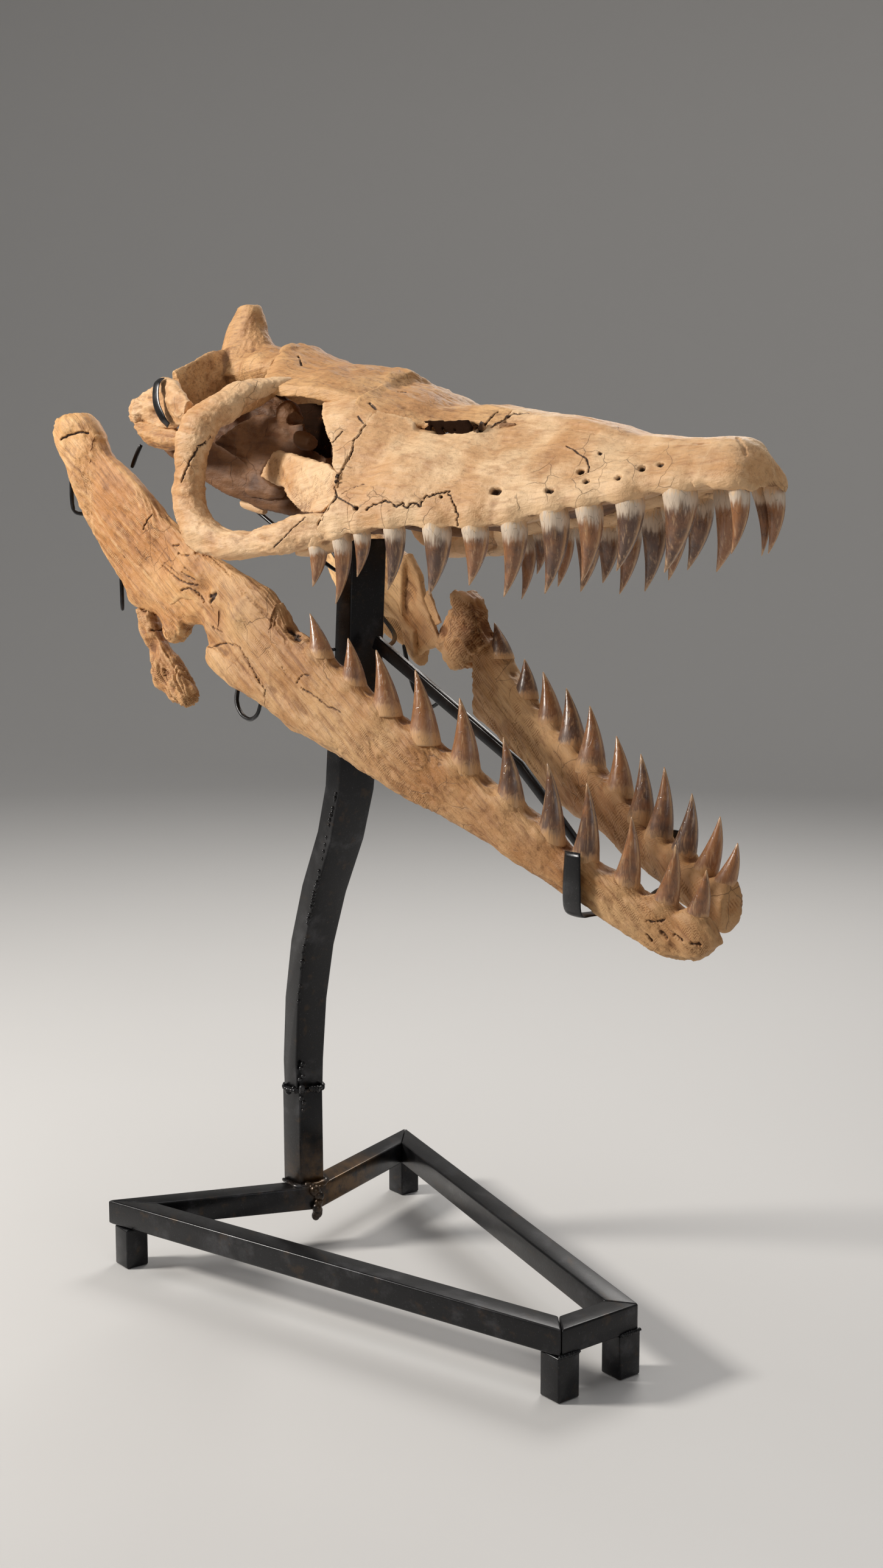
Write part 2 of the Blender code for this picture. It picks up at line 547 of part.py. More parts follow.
def build_dentary(label, jaw, mount):
    bone = principled("dentary_bone", BONE, 0.62)
    start = SEAM_DENTARY + GAP if jaw.side < 0 else SEAM_LEFT_KNOB + GAP
    stations = (start, 0.246, 0.284, 0.323, 0.367, 0.412, 0.455, 0.500, 0.534, 0.575, 0.610, 0.642)
    rings = [jaw.ring(x) for x in stations]
    if jaw.side < 0:
        rings += [jaw.ring(0.664), jaw.ring(0.679)]
    else:
        rings += [jaw.ring(0.651), jaw.ring(LEFT_JAW_TIP, top=0.462, bottom=0.440)]
    dentary = loft("dentary_" + label, rings, bone, mount)
    unite(dentary, [teeth_object("teeth_dentary_" + label, jaw.teeth(), bone, mount)])


def build_rear_jaw(label, jaw, mount):
    bone = principled("rear_jaw_bone", BONE, 0.64)
    articular = [-0.152, -0.147, -0.135, -0.118, -0.102, SEAM_ARTICULAR - GAP]
    loft("articular_" + label, [jaw.ring(x) for x in articular], bone, mount)
    rear = [SEAM_ARTICULAR, -0.056, -0.012, 0.026, 0.060, 0.098]
    front = [SEAM_CORONOID, 0.150, 0.180, SEAM_DENTARY]
    seam = ANGULAR_SHARE - ANGULAR_GAP
    if jaw.side < 0:
        blade = rear + [SEAM_CORONOID - GAP]
        loft("surangular_right", [jaw.ring(x, ANGULAR_SHARE) for x in blade], bone, mount)
        loft("coronoid_right", [jaw.ring(x, ANGULAR_SHARE) for x in front], bone, mount)
        loft("angular_right", [jaw.ring(x, 0.0, seam) for x in rear + front], bone, mount)
        return
    # The left ramus has lost a piece, so daylight shows between this plate and the dentary
    plate = [jaw.ring(x, ANGULAR_SHARE) for x in rear]
    broken = Profile(LEFT_BREAK_TOP)
    for x in (0.106, 0.126, 0.145, 0.162):
        low = jaw_bottom(x) + ANGULAR_SHARE * (jaw_top(x) - jaw_bottom(x))
        plate.append(jaw.ring(x, top=max(broken(x), low + 0.004), bottom=low - 0.010 * (x > 0.13)))
    loft("surangular_left", plate, bone, mount)
    loft("angular_left", [jaw.ring(x, 0.0, seam) for x in rear + [0.106, 0.126]], bone, mount)
    knob_top, knob_bottom = Profile(LEFT_KNOB_TOP), Profile(LEFT_KNOB_BOTTOM)
    knob = [jaw.ring(x, top=knob_top(x), bottom=knob_bottom(x))
            for x in (0.171, 0.180, 0.192, 0.212, SEAM_LEFT_KNOB)]
    loft("coronoid_left", knob, bone, mount)


def build_hyoid(mount):
    bone = principled("hyoid_bone", BONE, 0.66)
    stations = [(-0.014, -0.130, 0.661, 0.010, 0.010), (-0.002, -0.128, 0.648, 0.012, 0.013),
                (0.010, -0.127, 0.632, 0.012, 0.016), (0.030, -0.125, 0.609, 0.013, 0.018),
                (0.048, -0.123, 0.594, 0.013, 0.016), (0.062, -0.121, 0.586, 0.008, 0.009)]
    loft("hyoid_right", bar_rings(stations, up=(0.0, 1.0, 0.0)), bone, mount)


# ---- the stand ---------------------------------------------------------------------------------
def prism(name, plan, low, high, material, mount):
    return loft(name, [[(x, y, low) for x, y in plan], [(x, y, high) for x, y in plan]], material, mount)


def mitred_tubes(corners, width):
    """Plan outlines of the tubes that run round closed corners and meet in mitres."""
    count = len(corners)
    points = [Vector(c) for c in corners]
    outer, inner = [], []
    for i in range(count):
        before = (points[i] - points[i - 1]).normalized()
        after = (points[(i + 1) % count] - points[i]).normalized()
        mitre = Vector((before.y + after.y, -before.x - after.x)).normalized()
        reach = width / 2 / max(mitre.dot(Vector((after.y, -after.x))), 0.1)
        outer.append(points[i] + mitre * min(reach, width))
        inner.append(points[i] - mitre * reach)
    plans = []
    for i in range(count):
        j = (i + 1) % count
        shift = (points[j] - points[i]).normalized() * GAP
        plans.append([outer[i] + shift, outer[j] - shift, inner[j] - shift, inner[i] + shift])
    return plans


def build_base(mount):
    steel = principled("black_steel", STEEL, 0.34, 0.85)
    half = TUBE / 2
    wing_y, front_x = WING_HALF - LEG_INSET, FRAME_LENGTH - half
    corners = ((WING_X, -wing_y), (front_x, -NOSE_HALF + half), (front_x, NOSE_HALF - half),
               (WING_X, wing_y), (NOTCH_X, 0.0))
    names = ("rail_right", "cross", "rail_left", "wing_left", "wing_right")
    for name, plan in zip(names, mitred_tubes(corners, TUBE)):
        prism("stand_" + name, plan, FRAME_TOP - TUBE, FRAME_TOP, steel, mount)
    legs = ("rear_right", "front_right", "front_left", "rear_left")
    for name, (x, y) in zip(legs, corners):
        plan = [(x + a * half, y + b * half) for a, b in ((-1, -1), (1, -1), (1, 1), (-1, 1))]
        prism("stand_leg_" + name, plan, 0.0, FRAME_TOP - TUBE - GAP, steel, mount)


def post_rings(path, widths, depth):
    """Rectangular rings up a post in the plane Y = 0, with level ends."""
    rings = []
    centres = [Vector((x, 0.0, z)) for x, z in path]
    across = Vector((0.0, 1.0, 0.0))
    for i, centre in enumerate(centres):
        ahead = across.cross((centres[min(i + 1, len(path) - 1)] - centres[max(i - 1, 0)]).normalized())
        if i in (0, len(path) - 1):
            ahead = Vector((1.0, 0.0, 0.0))
        width = widths[0] + (widths[1] - widths[0]) * i / (len(path) - 1)
        rings.append([centre + across * a * width / 2 + ahead * b * depth / 2
                      for a, b in ((-1, -1), (1, -1), (1, 1), (-1, 1))])
    return rings


def build_post(mount):
    steel = principled("black_steel", STEEL, 0.34, 0.85)
    foot = [(POST_FOOT_X, FRAME_TOP + GAP), (POST_FOOT_X - 0.001, POST_BEND[0][1] - GAP)]
    loft("stand_post_foot", post_rings(foot, (POST_SIZE, POST_SIZE), 0.032), steel, mount)
    loft("stand_post_bend", post_rings(POST_BEND, (0.034, 0.046), POST_DEPTH), steel, mount)
    head = [(0.170, POST_BEND[-1][1] + GAP), (0.172, 0.600), (0.176, 0.660), (0.182, HEAD_TOP_Z)]
    loft("stand_post_head", post_rings(head, (0.042, 0.042), HEAD_DEPTH), steel, mount)


def rod(name, path, side, material, mount, flat=1.0):
    """A bent rod, or a band where flat is more than 1."""
    stations = [(x, y, z, ROD * flat, ROD) for x, y, z in path]
    rings = bar_rings(stations, sides=6, up=ROD_UP)
    loft(name, mirrored(rings, side), material, mount)


def build_arms(mount):
    """The flat bar and the rods that run from the post's head to the bones."""
    steel = principled("black_rod", STEEL, 0.38, 0.8)
    bar = [(0.203, 0.0, 0.648, 0.005, 0.010), (0.302, 0.0, 0.600, 0.005, 0.010),
           (0.420, 0.0, 0.545, 0.004, 0.008), (0.548, 0.0, 0.4435, 0.004, 0.004)]
    loft("stand_jaw_bar", bar_rings(bar, sides=4), steel, mount)
    for label, side in SIDES:
        jaw_arm = ((0.172, 0.0245, 0.640), (0.150, 0.060, 0.640), (0.110, 0.098, 0.648),
                   (0.050, 0.1065, 0.680), (-0.020, 0.112, 0.725), (-0.060, 0.118, 0.762),
                   (-0.098, 0.120, 0.798))
        rod("stand_jaw_arm_" + label, jaw_arm, side, steel, mount)
        skull_arm = ((0.176, 0.0245, 0.715), (0.120, 0.046, 0.750), (0.069, 0.052, 0.778),
                     (0.010, 0.056, 0.808), (-0.014, 0.068, 0.822))
        rod("stand_skull_arm_" + label, skull_arm, side, steel, mount)


def build_hooks(mount):
    """The hooks that hold the bones: each is a rod or band bent round the edge it carries."""
    steel = principled("black_rod", STEEL, 0.38, 0.8)
    cradle = [(BAND_X, -0.0615, 0.490), (BAND_X, -0.0620, 0.462), (BAND_X, -0.0600, 0.4410),
              (BAND_X, -0.044, 0.4380), (BAND_X, 0.0, 0.4375), (BAND_X, 0.030, 0.4430),
              (BAND_X, 0.044, 0.4480), (BAND_X, 0.0600, 0.4520), (BAND_X, 0.0620, 0.470),
              (BAND_X, 0.0615, 0.498)]
    stations = [(x, y, z, 0.0065, 0.0013) for x, y, z in cradle]
    loft("stand_front_cradle", bar_rings(stations, sides=4, up=(0.0, 0.05, 1.0)), steel, mount)
    for label, side in SIDES:
        hook = [(0.119, 0.0985, 0.6390), (0.120, 0.1040, 0.612), (0.121, 0.1105, 0.590),
                (0.133, 0.1115, 0.577), (0.150, 0.1115, 0.573), (0.163, 0.1115, 0.580),
                (0.168, 0.1115, 0.5925)]
        rod("stand_jaw_hook_" + label, hook, side, steel, mount)
        prong = [(-0.131, 0.1500, 0.8180), (-0.132, 0.1500, 0.780), (-0.128, 0.1470, 0.774),
                 (-0.118, 0.1340, 0.774), (-0.108, 0.1180, 0.780)]
        rod("stand_joint_hook_" + label, prong, side, steel, mount)
        strap = [(-0.013, 0.1265, 0.898), (-0.013, 0.1280, 0.886), (-0.013, 0.1280, 0.872),
                 (-0.013, 0.1260, 0.862)]
        stations = [(x, y, z, 0.0045, 0.0012) for x, y, z in strap]
        rings = bar_rings(stations, sides=4, up=(0.0, 1.0, 0.0))
        loft("stand_strap_" + label, mirrored(rings, side), steel, mount)
    pin = [(-0.0650, 0.1300, 0.7160), (-0.0645, 0.1300, 0.700), (-0.0640, 0.1300, 0.673)]
    rod("stand_hyoid_pin", pin, -1.0, steel, mount)
    stay = [(-0.0600, 0.1060, 0.8450), (-0.0670, 0.1080, 0.835), (-0.0740, 0.1100, 0.821)]
    rod("stand_quadrate_stay", stay, -1.0, steel, mount)


def main():
    clear_scene()
    mount = bpy.data.objects.new("mosasaur_mount", None)
    mount.location = (MOUNT_SHIFT, 0.0, 0.0)
    bpy.context.scene.collection.objects.link(mount)
    build_premaxilla(mount)
    build_frontal(mount)
    build_parietal(mount)
    build_braincase(mount)
    build_palate(mount)
    for label, side in SIDES:
        build_maxilla(label, side, mount)
        build_prefrontal(label, side, mount)
        build_jugal(label, side, mount)
        build_postorbital(label, side, mount)
        build_squamosal(label, side, mount)
        build_quadrate(label, side, mount)
        jaw = Jaw(side, left_jaw_lift if side > 0 else no_lift)
        build_dentary(label, jaw, mount)
        build_rear_jaw(label, jaw, mount)
    build_hyoid(mount)
    build_base(mount)
    build_post(mount)
    build_arms(mount)
    build_hooks(mount)


main()
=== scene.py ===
"""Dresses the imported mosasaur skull: weathered bones, enamelled teeth and a welded steel stand.

Lengths are metres. Shapes are worked out in the mount's own frame, where the snout points along +X,
the animal's right side is -Y and X = 0 lies between the stand's wing tips, and every finished mesh is
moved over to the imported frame.
"""

import itertools
import logging
import math
from dataclasses import dataclass
from enum import Enum
from typing import Callable, Iterable, Sequence

import bmesh
import bpy
import numpy as np
from mathutils import Matrix, Vector
from mathutils.bvhtree import BVHTree


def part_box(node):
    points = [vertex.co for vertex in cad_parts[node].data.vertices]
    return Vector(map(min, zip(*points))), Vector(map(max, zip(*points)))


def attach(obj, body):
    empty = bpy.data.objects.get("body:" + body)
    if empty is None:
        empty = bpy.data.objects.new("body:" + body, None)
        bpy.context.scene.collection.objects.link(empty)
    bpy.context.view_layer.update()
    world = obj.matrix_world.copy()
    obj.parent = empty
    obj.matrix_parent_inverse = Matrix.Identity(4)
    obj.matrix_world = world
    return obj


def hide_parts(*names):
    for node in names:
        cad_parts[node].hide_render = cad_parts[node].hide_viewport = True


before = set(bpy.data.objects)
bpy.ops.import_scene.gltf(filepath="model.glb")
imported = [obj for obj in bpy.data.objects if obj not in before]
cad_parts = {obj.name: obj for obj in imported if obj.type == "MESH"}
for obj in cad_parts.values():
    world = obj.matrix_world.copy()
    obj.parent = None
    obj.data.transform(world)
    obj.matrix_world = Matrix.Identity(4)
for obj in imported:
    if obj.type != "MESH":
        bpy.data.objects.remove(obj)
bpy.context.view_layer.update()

LOG = logging.getLogger("mosasaur")

Point = tuple[float, float, float]
Rings = list[list[Point]]

FRAME_LENGTH = 0.531
MOUNT_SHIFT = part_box("stand_cross")[1].x - FRAME_LENGTH
FINE = 0.00125  # voxel of the bones that show best
COARSE = 0.0019  # voxel of the bones behind them
FULL_BEND = 0.00009  # how far a point lies from its neighbours' middle in a hollow that takes the full dirt and painted shade
PICTURE_SCALE = 1100  # places of the main view's picture in a metre at the skull, about


class Side(Enum):
    """The animal's right side faces the camera."""

    RIGHT = -1.0
    LEFT = 1.0

    @property
    def label(self) -> str:
        """The word used in node names."""
        return self.name.lower()

    def named(self, bone: str) -> str:
        """Args: bone: its plain name. Returns: the node's name on this side."""
        return f"{bone}_{self.label}"


class Slot(Enum):
    """The record's material slots."""

    PALE = "bone_pale"
    TAN = "bone_tan"
    JAW = "jaw_bone"
    BROWN = "bone_brown"
    TOOTH = "tooth"
    STEEL = "black_steel"


# ---- curves and noise --------------------------------------------------------------------------
class Profile:
    """A smooth value along one axis, through a few (place, value) knots."""

    def __init__(self, *knots: tuple[float, float]) -> None:
        """Args: knots: the (place, value) pairs, in any order."""
        self.at, self.values = np.array(sorted(knots)).T
        slope = np.diff(self.values) / np.diff(self.at)
        product, total = slope[1:] * slope[:-1], slope[1:] + slope[:-1]
        inner = np.divide(2 * product, total, out=np.zeros_like(total), where=product > 1e-12)
        self.slopes = np.concatenate([slope[:1], inner, slope[-1:]])

    def __call__(self, place: float) -> float:
        """Args: place: where to read. Returns: the value there, held level past both ends."""
        place = min(max(place, self.at[0]), self.at[-1])
        i = min(max(int(np.searchsorted(self.at, place)) - 1, 0), len(self.at) - 2)
        width = self.at[i + 1] - self.at[i]
        t = (place - self.at[i]) / width
        a = (1 + 2 * t) * (1 - t) ** 2 * self.values[i] + t * t * (3 - 2 * t) * self.values[i + 1]
        b = t * (1 - t) ** 2 * self.slopes[i] - t * t * (1 - t) * self.slopes[i + 1]
        return float(a + b * width)


def spread(start: float, end: float, step: float) -> list[float]:
    """Args: start, end: the limits. step: the widest gap. Returns: even places from start to end."""
    return list(np.linspace(start, end, max(int(math.ceil(abs(end - start) / step)), 1) + 1))


def eased(stations: Sequence[Sequence[float]], steps: int = 6) -> list[list[float]]:
    """Fills in a Catmull-Rom run of stations.

    Args:
        stations: rows of numbers that the curve passes through.
        steps: rows made from each one to the next.

    Returns:
        The denser list of rows.
    """
    rows = np.array(stations, float)
    padded = np.vstack([2 * rows[0] - rows[1], rows, 2 * rows[-1] - rows[-2]])
    out = []
    for i in range(len(rows) - 1):
        p0, p1, p2, p3 = padded[i:i + 4]
        for t in np.arange(steps) / steps:
            out.append(0.5 * (2 * p1 + (p2 - p0) * t + (2 * p0 - 5 * p1 + 4 * p2 - p3) * t * t
                              + (3 * p1 - p0 - 3 * p2 + p3) * t ** 3))
    out.append(rows[-1])
    return [list(row) for row in out]


def lattice_noise(points: np.ndarray, seed: int = 0) -> np.ndarray:
    """Args: points: (n, 3) places, in lattice cells. seed: which pattern. Returns: n values, -1 to 1."""
    cell = np.floor(points).astype(np.int64)
    part = points - cell
    part = part ** 3 * (part * (part * 6 - 15) + 10)
    total = np.zeros(len(points))
    for corner in itertools.product((0, 1), repeat=3):
        key = cell + np.array(corner)
        mixed = (key[:, 0] * 73856093) ^ (key[:, 1] * 19349663) ^ (key[:, 2] * 83492791)
        mixed = (mixed ^ (seed * 2654435761)) & 0xFFFFFFFF
        mixed = ((mixed ^ (mixed >> 15)) * 2246822519) & 0xFFFFFFFF
        mixed = ((mixed ^ (mixed >> 13)) * 3266489917) & 0xFFFFFFFF
        weight = np.prod(np.where(np.array(corner, bool), part, 1 - part), axis=1)
        total += weight * ((mixed >> 8 & 0xFFFF) / 32767.5 - 1)
    return total


def fractal(points: np.ndarray, size: float, octaves: int = 3, seed: int = 0) -> np.ndarray:
    """Args: points: (n, 3). size: the widest feature. octaves, seed: detail. Returns: n values."""
    total, weight, scale = np.zeros(len(points)), 1.0, 1.0 / size
    for octave in range(octaves):
        total += weight * lattice_noise(points * scale + 17.3 * octave, seed + octave)
        weight, scale = weight * 0.5, scale * 2.03
    return total


def wander(place: float, size: float, seed: int) -> float:
    """Args: place: along a seam. size: of the wiggle. seed: which one. Returns: -1 to 1."""
    return float(fractal(np.array([[place, 0.37, 0.61]]), size, 3, seed)[0])


# ---- the main view -----------------------------------------------------------------------------
@dataclass(frozen=True)
class MainView:
    """The camera, and the rays through places in its 1450 by 2576 picture."""

    place: Point = (1.6869, -1.10331, 0.74606)
    yaw: float = math.radians(141.379)
    pitch: float = math.radians(-7.345)
    focal_pixels: float = 3101.83
    width: int = 1450
    height: int = 2576
    sensor: float = 36.0

    @property
    def forward(self) -> Vector:
        """The way the camera looks."""
        level = math.cos(self.pitch)
        return Vector((math.cos(self.yaw) * level, math.sin(self.yaw) * level, math.sin(self.pitch)))

    def ray(self, x: float, y: float) -> Vector:
        """Args: x, y: a place in the picture. Returns: the unit direction through it."""
        right = self.forward.cross(Vector((0.0, 0.0, 1.0))).normalized()
        up = right.cross(self.forward)
        across, rise = x - self.width / 2, self.height / 2 - y
        return (self.forward * self.focal_pixels + right * across + up * rise).normalized()

    def at_depth(self, x: float, y: float, side: float) -> Vector:
        """Args: x, y: a picture place. side: the mount's Y. Returns: the point of the ray there."""
        ray, start = self.ray(x, y), Vector(self.place)
        return start + ray * ((side - start.y) / ray.y)

    def add_camera(self) -> None:
        """Adds the camera and makes it the scene's own."""
        data = bpy.data.cameras.new("main_view")
        data.sensor_fit = "VERTICAL"
        data.sensor_height = self.sensor
        data.lens = self.focal_pixels * self.sensor / self.height
        camera = bpy.data.objects.new("main_view", data)
        camera.location = Vector(self.place) + Vector((MOUNT_SHIFT, 0.0, 0.0))
        camera.rotation_euler = self.forward.to_track_quat("-Z", "Y").to_euler()
        bpy.context.scene.collection.objects.link(camera)
        bpy.context.scene.camera = camera


VIEW = MainView()


# ---- shader maths ------------------------------------------------------------------------------
class Value:
    """A number socket that takes part in Python sums."""

    def __init__(self, paint: "Paint", socket: bpy.types.NodeSocket) -> None:
        """Args: paint: the material being made. socket: the output that this stands for."""
        self.paint, self.socket = paint, socket

    def _math(self, operation: str, first: object, second: object) -> "Value":
        """Args: operation: of a Math node. first, second: its inputs. Returns: its output."""
        return self.paint.node("ShaderNodeMath", {"operation": operation}, {0: first, 1: second})

    def __add__(self, other: object) -> "Value":
        """Adds."""
        return self._math("ADD", self, other)

    __radd__ = __add__

    def __sub__(self, other: object) -> "Value":
        """Takes away."""
        return self._math("SUBTRACT", self, other)

    def __rsub__(self, other: object) -> "Value":
        """Takes this from a number."""
        return self._math("SUBTRACT", other, self)

    def __mul__(self, other: object) -> "Value":
        """Multiplies."""
        return self._math("MULTIPLY", self, other)

    __rmul__ = __mul__

    def step(self, low: float, high: float) -> "Value":
        """Args: low, high: where the step starts and ends. Returns: 0 to 1, eased between them."""
        return self.paint.node("ShaderNodeMapRange", {"interpolation_type": "SMOOTHSTEP"},
                               {0: self, 1: low, 2: high, 3: 0.0, 4: 1.0})


class Paint:
    """One material and the nodes that make it."""

    def __init__(self, name: str) -> None:
        """Args: name: the material's."""
        self.material = bpy.data.materials.new(name)
        self.material.use_nodes = True
        self.tree = self.material.node_tree
        self.shader = self.tree.nodes["Principled BSDF"]

    def node(self, kind: str, settings: dict, inputs: dict, output: int = 0) -> Value:
        """Adds any node.

        Args:
            kind: the node's type.
            settings: its attributes, set first.
            inputs: socket index or name to a value, a colour or a link.
            output: which output to return.

        Returns:
            That output.
        """
        made = self.tree.nodes.new(kind)
        for key, value in settings.items():
            setattr(made, key, value)
        for key, value in inputs.items():
            if isinstance(value, Value):
                self.tree.links.new(value.socket, made.inputs[key])
            else:
                made.inputs[key].default_value = value
        return Value(self, made.outputs[output])

    def place(self) -> Value:
        """The Object coordinate."""
        return self.node("ShaderNodeTexCoord", {}, {}, 3)

    def mapped(self, turn: Point, scale: Point) -> Value:
        """Args: turn: Euler angles. scale: per axis. Returns: the Object coordinate, turned then scaled."""
        turned = self.node("ShaderNodeMapping", {}, {0: self.place(), 2: turn})
        return self.node("ShaderNodeMapping", {}, {0: turned, 3: scale})

    def attribute(self, name: str) -> Value:
        """Args: name: of a mesh attribute. Returns: its value."""
        return self.node("ShaderNodeAttribute", {"attribute_name": name}, {}, 2)

    def noise(self, vector: Value, scale: float, detail: float = 4.0, roughness: float = 0.55) -> Value:
        """Args: vector: where. scale, detail, roughness: the noise's. Returns: 0 to 1."""
        return self.node("ShaderNodeTexNoise", {},
                         {"Vector": vector, "Scale": scale, "Detail": detail, "Roughness": roughness})

    def mix(self, factor: object, first: object, second: object) -> Value:
        """Args: factor: 0 to 1. first, second: colours. Returns: the mixed colour."""
        return self.node("ShaderNodeMix", {"data_type": "RGBA"}, {0: factor, 6: first, 7: second}, 2)

    def warped(self, vector: Value, scale: float, amount: float) -> Value:
        """Args: vector: where. scale, amount: of the warp. Returns: the bent coordinate."""
        swirl = self.node("ShaderNodeTexNoise", {}, {"Vector": vector, "Scale": scale, "Detail": 2.0}, 1)
        scaled = self.node("ShaderNodeVectorMath", {"operation": "SCALE"}, {0: swirl, 3: amount})
        return self.node("ShaderNodeVectorMath", {"operation": "ADD"}, {0: vector, 1: scaled})

    def crackle(self, vector: Value, scale: float, width: float) -> Value:
        """Args: vector: where. scale: cells per metre. width: of a line. Returns: 1 on the lines."""
        cells = self.node("ShaderNodeTexVoronoi", {"feature": "DISTANCE_TO_EDGE"},
                          {"Vector": vector, "Scale": scale, "Randomness": 1.0})
        return 1.0 - cells.step(0.0, width)

    def bump(self, height: Value, strength: float, distance: float) -> Value:
        """Args: height: the relief. strength, distance: the Bump node's. Returns: the normal."""
        return self.node("ShaderNodeBump", {}, {"Height": height, "Strength": strength, "Distance": distance})

    def feed(self, **sockets: object) -> bpy.types.Material:
        """Args: sockets: Principled inputs, with _ for a space. Returns: the finished material."""
        for key, value in sockets.items():
            target = self.shader.inputs[key.replace("_", " ")]
            if isinstance(value, Value):
                self.tree.links.new(value.socket, target)
            else:
                target.default_value = value
        return self.material


def srgb(red: int, green: int, blue: int) -> tuple[float, float, float, float]:
    """Args: red, green, blue: 0 to 255 as a screen shows them. Returns: the linear colour."""
    parts = (c / 255 for c in (red, green, blue))
    return (*(c / 12.92 if c <= 0.04045 else ((c + 0.055) / 1.055) ** 2.4 for c in parts), 1.0)


# ---- finishes ----------------------------------------------------------------------------------
Colour = tuple[float, float, float, float]


@dataclass(frozen=True)
class Finish:
    """A finish, whose material is painted once and then shared."""

    name: str
    slot: Slot

    def material(self) -> bpy.types.Material:
        """Returns: the material, the same one at every call."""
        return bpy.data.materials.get(self.name) or self.paint()

    def paint(self) -> bpy.types.Material:
        """Returns: the newly made material."""
        raise NotImplementedError


@dataclass(frozen=True)
class BoneFinish(Finish):
    """Fossil bone: blotches of three tones, a grain along the bone, pores, dirt and painted shade in the
    hollows, and a painted highlight on the ridges.
    """

    light: Colour
    middle: Colour
    deep: Colour
    stain: Colour
    dirt: Colour = srgb(52, 30, 16)
    crease: Colour = srgb(104, 62, 30)
    grain_turn: Point = (0.0, 0.0, 0.0)
    grain_depth: float = 0.5
    roughness: float = 0.58
    browning: float = 0.0
    shine: float = 0.5

    def paint(self) -> bpy.types.Material:
        """Returns: the newly made material."""
        paint = Paint(self.name)
        place = paint.warped(paint.place(), 9.0, 0.03)
        along = paint.mapped(self.grain_turn, (0.06, 1.0, 1.0))
        blotch = paint.noise(place, 13.0, 6.0, 0.62)
        cloud = paint.noise(place, 5.0, 3.0, 0.5)
        patches = paint.noise(paint.warped(paint.place(), 30.0, 0.012), 34.0, 5.0, 0.6)
        grain = paint.noise(along, 190.0, 6.0, 0.65)
        fibre = paint.noise(along, 480.0, 3.0, 0.6)
        speck = paint.noise(paint.place(), 700.0, 2.0, 0.5)
        hollow, ridge = paint.attribute("hollow"), paint.attribute("ridge")
        colour = paint.mix(blotch.step(0.4, 0.6), self.middle, self.light)
        colour = paint.mix(cloud.step(0.46, 0.66) * 0.75, colour, self.stain)
        colour = paint.mix(patches.step(0.52, 0.72) * 0.45, colour, self.deep)
        colour = paint.mix(grain.step(0.48, 0.7) * 0.55 * self.grain_depth, colour, self.deep)
        colour = paint.mix(fibre.step(0.5, 0.75) * 0.35 * self.grain_depth, colour, self.dirt)
        colour = paint.mix(speck.step(0.55, 0.8) * 0.25, colour, self.deep)
        # Dirt and painted shade: the hollows darkened towards the crease colour.
        colour = paint.mix(hollow.step(0.22, 1.1) * 0.7, colour, self.crease)
        # A pale painted highlight on the ridges, where the surface bends outward.
        colour = paint.mix(ridge.step(0.1, 0.9) * 0.45, colour, self.light)
        # Painted shade: the bone darkened towards the deep tone along X, towards the snout.
        ahead = paint.node("ShaderNodeSeparateXYZ", {}, {0: place}, 0)
        colour = paint.mix(ahead.step(-0.21, -0.07) * self.browning, colour, self.deep)
        fine = paint.crackle(paint.warped(paint.place(), 60.0, 0.012), 34.0, 0.018)
        fine = fine * paint.noise(place, 15.0, 3.0).step(0.54, 0.62) * 0.5
        colour = paint.mix(fine, colour, self.dirt)
        colour = paint.mix(paint.attribute("mark").step(0.25, 0.7) * 0.93, colour, self.dirt)
        relief = grain * (1.1 * self.grain_depth) + fibre * (0.5 * self.grain_depth) + speck * 0.25
        relief = relief - fine * 0.6 + blotch * 0.3 + patches * 0.3
        normal = paint.bump(relief, 0.8, 0.0016)
        rough = self.roughness + (grain - 0.5) * 0.25 + hollow * 0.15
        return paint.feed(Base_Color=colour, Roughness=rough, Normal=normal, Specular_IOR_Level=self.shine)


PALE_BONE = BoneFinish("pale_fossil_bone", Slot.PALE, srgb(228, 191, 147), srgb(204, 157, 108),
                       srgb(148, 94, 48), srgb(190, 132, 74), grain_turn=(0.0, 0.15, 0.0), grain_depth=0.75)
TAN_BONE = BoneFinish("tan_fossil_bone", Slot.TAN, srgb(220, 174, 120), srgb(190, 140, 88),
                      srgb(128, 78, 38), srgb(174, 116, 60), grain_turn=(0.0, 0.1, 0.0), grain_depth=1.1)
JAW_BONE = BoneFinish("jaw_fossil_bone", Slot.JAW, srgb(238, 193, 136), srgb(208, 154, 94),
                      srgb(118, 70, 30), srgb(178, 114, 52), grain_turn=(0.0, -0.62, 0.0), grain_depth=1.2,
                      browning=0.42)
# The inner bones' own brown, darkened further as painted shade for where they lie inside the skull.
BROWN_SHADED_BONE = BoneFinish("brown_fossil_bone", Slot.BROWN, srgb(134, 92, 54), srgb(86, 54, 30),
                        srgb(58, 36, 20), srgb(94, 58, 30), roughness=0.68)
# Near-black and almost without specular: painted shade for the sheets set behind the naris and the orbit,
# where only shade shows.
PAINTED_SHADE_BONE = BoneFinish("painted_shade_bone", Slot.BROWN, srgb(40, 23, 12), srgb(30, 17, 9),
                         srgb(18, 10, 6), srgb(34, 19, 9), roughness=0.95, shine=0.05)


